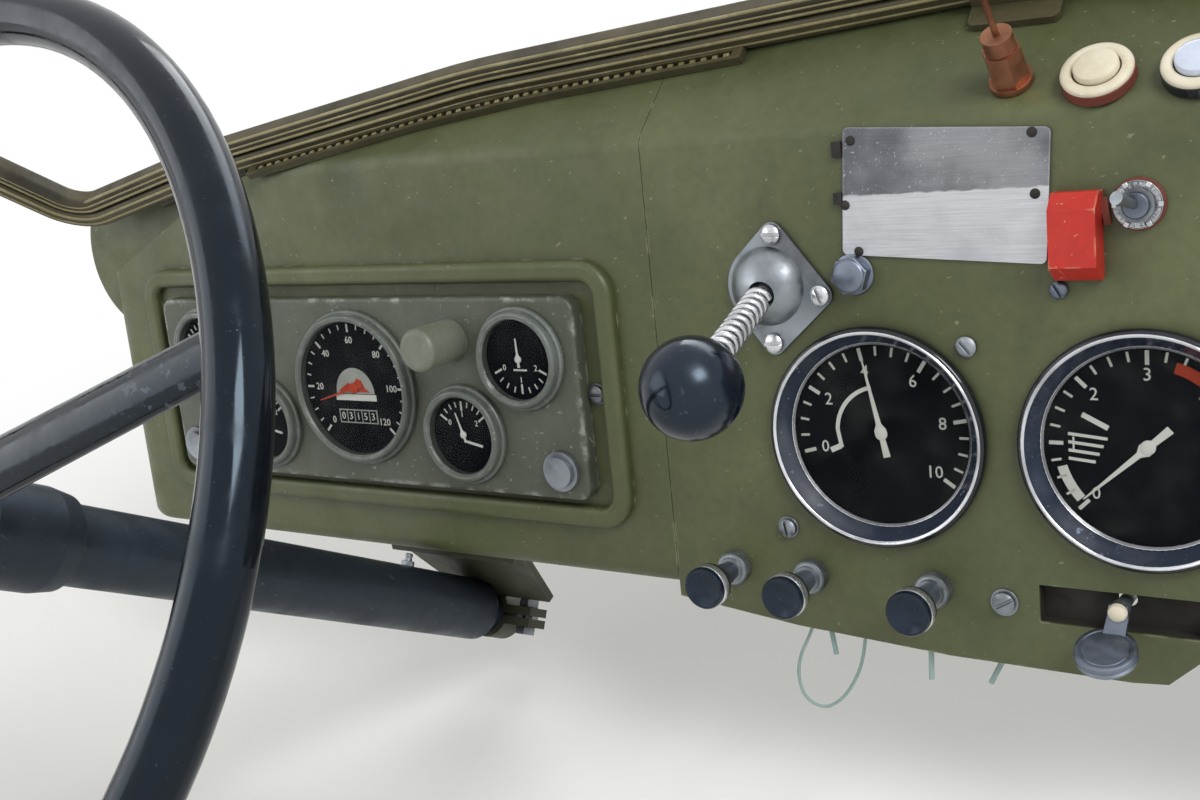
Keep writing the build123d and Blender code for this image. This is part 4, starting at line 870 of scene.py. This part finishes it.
# Data plate's rivets and the clips at its left edge, and the screw below the guard
plate_rivets = [(-77, 108.5), (20.5, 110), (-72, 141), (20, 139), (-71, 84.5)]
plate_front = 1.3
fixings = Piece("plate_fixings", "dark")
for x, v in plate_rivets:
    fixings.lathe(shifted(FACE, x, v, plate_front), [(0, 0), (2.6, 0), (2.4, 0.8), (1.4, 1.4), (0, 1.5)], 20)
fixings.prism(shifted(FACE, -80.5, 137, 0.1), rectangle(-1.6, -4, 3.4, 4), 0, 3)
fixings.prism(shifted(FACE, -81.5, 112, 0.1), rectangle(-1.4, -3, 3, 3), 0, 2.6)
fixings.use("blued")
slotted_screw(fixings, shifted(FACE, 30.0, 63.5), 4.4, 3.6, 30.0)
fixings.done(0.2)

# Hanger's clamp bolt, and the grease nipple on the column
ring_outer, bolt_offset, clamp_middle = 18.1, 11.0, -482.0
nipple_foot, nipple_level = 21.0, -377.0
clamp_across, nipple_across = 13.0, 8.0
quarter = Matrix.Rotation(math.radians(-90), 4, "X")
clamp = Piece("clamp_bolt", "steel")
across = shifted(COLUMN, ring_outer + bolt_offset, 0, clamp_middle) @ quarter
clamp.prism(across, hexagon(clamp_across), 7.0, 14.0)
clamp.lathe(across, [(0, 13.6), (4, 13.6), (4, 18.5), (3.4, 19.5), (0, 19.5)], 20)
clamp.disc(across, 3.6, -9.0, 9.0, 20)
clamp.prism(across, hexagon(clamp_across), -12.5, -7.0)
nipple = shifted(COLUMN, 0, nipple_foot, nipple_level) @ quarter
clamp.prism(nipple, hexagon(nipple_across), 0.0, 3.6)
clamp.lathe(nipple, [(0, 3.4), (2.6, 3.4), (2.2, 6), (2.7, 7.4), (2, 8.8), (0, 9)], 20)
clamp.done(0.3)

# Behind the panel: terminals of the small gauges, the speedometer's drive, the gauges' unions
small_back, speedometer_back, pressure_back = -31.0, -57.0, -46.0
terminal_offset, terminal_across, union_across = 9.0, 7.0, 15.0
backwards = Matrix.Rotation(math.pi, 4, "X")
rear = Piece("rear_terminals", "steel")
for x, v in small_places:
    for side in (-1, 1):
        back = shifted(FACE, x + side * terminal_offset, v, small_back) @ backwards
        rear.disc(back, 5.0, 0.0, 0.8, 20)
        rear.prism(back, hexagon(terminal_across), 0.8, 3.8)
        rear.lathe(back, [(0, 3.6), (2, 3.6), (2, 9), (1.6, 9.6), (0, 9.6)], 12)
backs = [(speedometer_place, speedometer_back)] + [(place, pressure_back) for place in pressure_places]
for (x, v), depth in backs:
    back = shifted(FACE, x, v, depth) @ backwards
    rear.lathe(back, [(0, 0), (8, 0), (8, 3), (5, 3.4), (5, 12), (4.4, 13), (0, 13)], 24)
    rear.prism(back, hexagon(union_across), 3.0, 8.0)
rear.done(0.25)

# Windscreen rail: its line in millimetres, and the thin lips along it
rail_run = [(0, 84), (330, 49), (530, 2)]
rail_foot, rail_post = Vector((690.0, -186.0, 114.0)), Vector((716.0, -240.0, 178.0))
rail_radii = [400.0, 220.0, 42.0]
rail_level = 6.8
arc_steps = 8


def rail_line():
    """Right half of the rail's line, its corners turned into arcs."""
    lift = SHELF.col[2].xyz.normalized() * rail_level
    points = [SHELF @ Vector((x, s, rail_level)) / MM for x, s in rail_run]
    inboard = (points[-1] - rail_foot - lift).normalized() * rail_level
    points += [rail_foot + lift + inboard, rail_post + lift + inboard]
    radii = rail_radii[:2] + [rail_radii[2] - rail_level]
    line = [points[0]]
    for before, corner, after, radius in zip(points, points[1:], points[2:], radii):
        back, ahead = (before - corner).normalized(), (after - corner).normalized()
        half = back.angle(ahead) / 2
        centre = corner + (back + ahead).normalized() * radius / math.sin(half)
        start = (corner + back * radius / math.tan(half) - centre).normalized()
        end = (corner + ahead * radius / math.tan(half) - centre).normalized()
        line += [centre + start.slerp(end, i / arc_steps) * radius for i in range(arc_steps + 1)]
    return line + [points[-1]]


def beside_rail(across, up):
    """The rail's line moved across and up in millimetres."""
    sides = carried(rail_line(), SHELF.col[1].xyz.normalized())
    return [point + side * across + over * up for point, side, over in sides]


def mirrored(line):
    return [Vector((-point.x, point.y, point.z)) for point in line]


# across the rail, up from its middle, radius
rail_lips = [(-7.4, 3.4, 1.2), (-7.4, -1.8, 0.9), (-5.9, 9.8, 1.1), (-5.9, 13.8, 0.8), (-4.8, 17.8, 1.1)]
lips = Piece("rail_lips", "lip")
for across, up, radius in rail_lips:
    half = beside_rail(across, up)
    lips.tube([point * MM for point in mirrored(half[:0:-1]) + half], radius, 8)
lips.done(angle=60)

# Gasket under the rail, from the shelf's shoulder down to the corner web
gasket_start, gasket_end = 505.0, 600.0
gasket_across, gasket_up, gasket_radius = -3.6, -8.0, 3.8
gasket = Piece("rail_gasket", "seal")
line = beside_rail(gasket_across, gasket_up)
under = [point for point in line if gasket_start < point.x < gasket_end]
beyond = line[line.index(under[-1]) + 1]
under.append(under[-1].lerp(beyond, (gasket_end - under[-1].x) / (beyond.x - under[-1].x)))
for half in (under, mirrored(under)):
    gasket.tube([point * MM for point in half], gasket_radius, 10)
gasket.done(angle=60)

# Teeth in the slots of the defroster strips
strip_start, strip_end, strip_offset = 160.0, 496.0, 12.3
tooth_pitch, tooth_length, tooth_width = 7.0, 3.4, 3.8
grille = Piece("defroster_grilles", "lip")
for side in (1, -1):
    for tooth in range(int((strip_end - strip_start) / tooth_pitch) + 1):
        x = strip_start + tooth_pitch * tooth
        (x0, s0), (x1, s1) = rail_run[:2] if x < rail_run[1][0] else rail_run[1:]
        s = s0 + (s1 - s0) * (x - x0) / (x1 - x0) - strip_offset
        lean = side * math.degrees(math.atan2(s1 - s0, x1 - x0))
        spot = shifted(SHELF, side * x, s, turn=lean)
        grille.bar(spot, tooth_length, tooth_width, -tooth_length / 2, 1.2, 4.4)
grille.done(0.4)

# Lamps on the shelf: moulded ring with a lens, each over a coloured skirt
lamp_level = 14.5
ring = [(16.5, 5.5), (16.7, 6.6), (16.3, 7.6), (15.4, 8.2), (14, 8.4), (12.4, 8.2), (11.3, 7.6), (11.1, 7)]
lamp = Piece("lamp_rings", "white")
for x, skirt, lens in ((48.5, "brown", "white"), (93.0, "bezel", "lens")):
    lamp.turned(shifted(SHELF, x, lamp_level), [
        (skirt, 64, [(0, 0.3), (17, 0.3), (17, 5.4), (16.6, 5.6), (0, 5.6)]),
        ("white", 64, ring),
        ("dark", 48, [(11.2, 7.1), (10.3, 7.1)]),
        (lens, 48, [(10.4, 6.4), (10.4, 9.6), (9.9, 10.5), (8.6, 11), (5, 11.25), (0, 11.3)]),
    ])
lamp.done(angle=38, replaces=["shelf_lamps"])

# Screws of the glovebox lid's hinge leaf, each turned in its own way
leaf_level, leaf_front, lid_screw_height = -52.0, 11.0, 1.6
lid_screws = [(x, leaf_level, 2.6, 15.0 * (x % 7), 0) for x in (312, 371, 431, 491, 550)]
screw_set("lid_screws", "steel", lid_screws, lid_screw_height, leaf_front, 0.12, "glovebox_door")

# Stubs of pale tube under the lower edge: x and height of the start and of the end
tube_stubs = [
    (-107.6, -126, -104.6, -146.5),
    (-47.6, -126, -48.5, -153),
    (-3.4, -126, -15.2, -150),
]
stub_radius, stub_depth = 1.5, 9.0
stubs = Piece("edge_stubs", "wire")
for start_x, start_v, end_x, end_v in tube_stubs:
    ends = [(start_x, start_v, -stub_depth), (end_x, end_v, -stub_depth)]
    stubs.tube([FACE @ Vector(end) for end in ends], stub_radius, 12)
stubs.done()

# Wire that hangs below the centre section: x, height, depth behind the face
wire_route = [
    (-118.0, -128.4, 12.0),
    (-122.0, -139.0, 12.0),
    (-129.0, -151.0, 12.5),
    (-132.5, -166.0, 13.5),
    (-129.0, -180.0, 14.0),
    (-116.5, -184.5, 14.0),
    (-104.0, -175.5, 13.0),
    (-94.5, -161.0, 12.0),
    (-88.5, -146.0, 11.0),
    (-86.0, -130.4, 10.0),
]
wire_radius = 1.0
curve = bpy.data.curves.new("wire", "CURVE")
curve.dimensions = "3D"
curve.bevel_depth = wire_radius * MM
curve.bevel_resolution = 4
curve.resolution_u = 12
curve.use_fill_caps = True
spline = curve.splines.new("NURBS")
spline.points.add(len(wire_route) - 1)
wire_points = [FACE @ Vector((x, v, -depth)) for x, v, depth in wire_route]
for control, point in zip(spline.points, wire_points):
    control.co = (*point, 1.0)
spline.order_u = 3
spline.use_endpoint_u = True
curve.materials.append(finishes["wire"])
wire = placed("wire", curve)
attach(wire, "dash")
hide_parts("wire_loop")

# Camera, placed by what it sees of the photograph's frame
photo_width = 1200.0
focal_pixels = 1413.13
camera_place = (0.226, -0.81786, 0.34716)
camera_azimuth = -37.660
camera_elevation = -24.380
camera_roll = -15.255

camera_data = bpy.data.cameras.new("camera")
camera_data.sensor_width = 36.0
camera_data.lens = focal_pixels / photo_width * camera_data.sensor_width
camera_data.clip_start = 0.01
camera = placed("camera", camera_data)
elevation = math.radians(camera_elevation)
north = Vector((0, math.cos(elevation), math.sin(elevation)))
aim = (Matrix.Rotation(-math.radians(camera_azimuth), 3, "Z") @ north).to_track_quat("-Z", "Y")
camera.rotation_mode = "QUATERNION"
camera.rotation_quaternion = aim @ Matrix.Rotation(math.radians(camera_roll), 3, "Z").to_quaternion()
camera.location = camera_place
bpy.context.scene.camera = camera

# Floor, light and background
middle = (cad_low + cad_high) / 2
floor_drop = 0.03
floor_level = cad_low.z - floor_drop
reach = 8.0
floor_mesh = bpy.data.meshes.new("floor")
corners = rectangle(-reach, -reach, reach, reach)
floor_mesh.from_pydata([(x, y, floor_level) for x, y in corners], [], [(0, 1, 2, 3)])
floor = placed("floor", floor_mesh)


def seen_by_camera(tree):
    """1 for rays that show the background: camera, glossy and transmission rays."""
    path = add_node(tree, "ShaderNodeLightPath").outputs
    seen = path["Is Camera Ray"]
    for ray in ("Is Glossy Ray", "Is Transmission Ray"):
        seen = add_node(tree, "ShaderNodeMath", {0: seen, 1: path[ray]}, operation="MAXIMUM").outputs[0]
    return seen


# The floor keeps the object's shadow and turns to the backdrop's white further out
shadow_reach, white_reach = 0.75, 1.7
f = Finish("floor_pale", Roughness=0.9)
tone = f.mix(f.noise(3.0, 3.0), srgb((228, 228, 225)), srgb((222, 222, 218)))
f.end(tone, height=f.noise(260.0), strength=0.1, depth=0.2)
away = f.away((middle.x, middle.y, floor_level))
whitened = f.times(f.step(away, shadow_reach, white_reach), seen_by_camera(f.tree))
backdrop = f.node("ShaderNodeEmission")
surface = f.node("ShaderNodeMixShader", {0: whitened, 1: f.shader.outputs[0], 2: backdrop.outputs[0]})
feed(f.tree, f.tree.nodes["Material Output"].inputs["Surface"], surface.outputs[0])
floor_mesh.materials.append(f.material)


def area_light(name, place, size, power):
    """Rectangular light that points at the object's middle."""
    data = bpy.data.lights.new(name, "AREA")
    data.shape = "RECTANGLE"
    data.size, data.size_y = size
    data.energy = power
    light = placed(name, data)
    light.location = place
    light.rotation_mode = "QUATERNION"
    light.rotation_quaternion = (middle - Vector(place)).to_track_quat("-Z", "Y")


area_light("key", (1.5, -1.0, 1.9), (1.0, 1.0), 40.0)
area_light("fill", (-1.7, -1.5, 1.0), (1.8, 1.4), 12.0)
area_light("windscreen", (-0.1, 1.5, 1.4), (2.2, 0.9), 24.0)

# The background lights the object at half the strength that the camera sees
light_strength, seen_strength = 0.5, 1.0
world = bpy.data.worlds.new("studio")
world.use_nodes = True
bpy.context.scene.world = world
tree = world.node_tree
background = tree.nodes["Background"].inputs
inputs = {"Value": seen_by_camera(tree), "To Min": light_strength, "To Max": seen_strength}
feed(tree, background["Strength"], add_node(tree, "ShaderNodeMapRange", inputs).outputs[0])
background["Color"].default_value = (1, 1, 1, 1)

bpy.context.scene.view_settings.view_transform = "Standard"
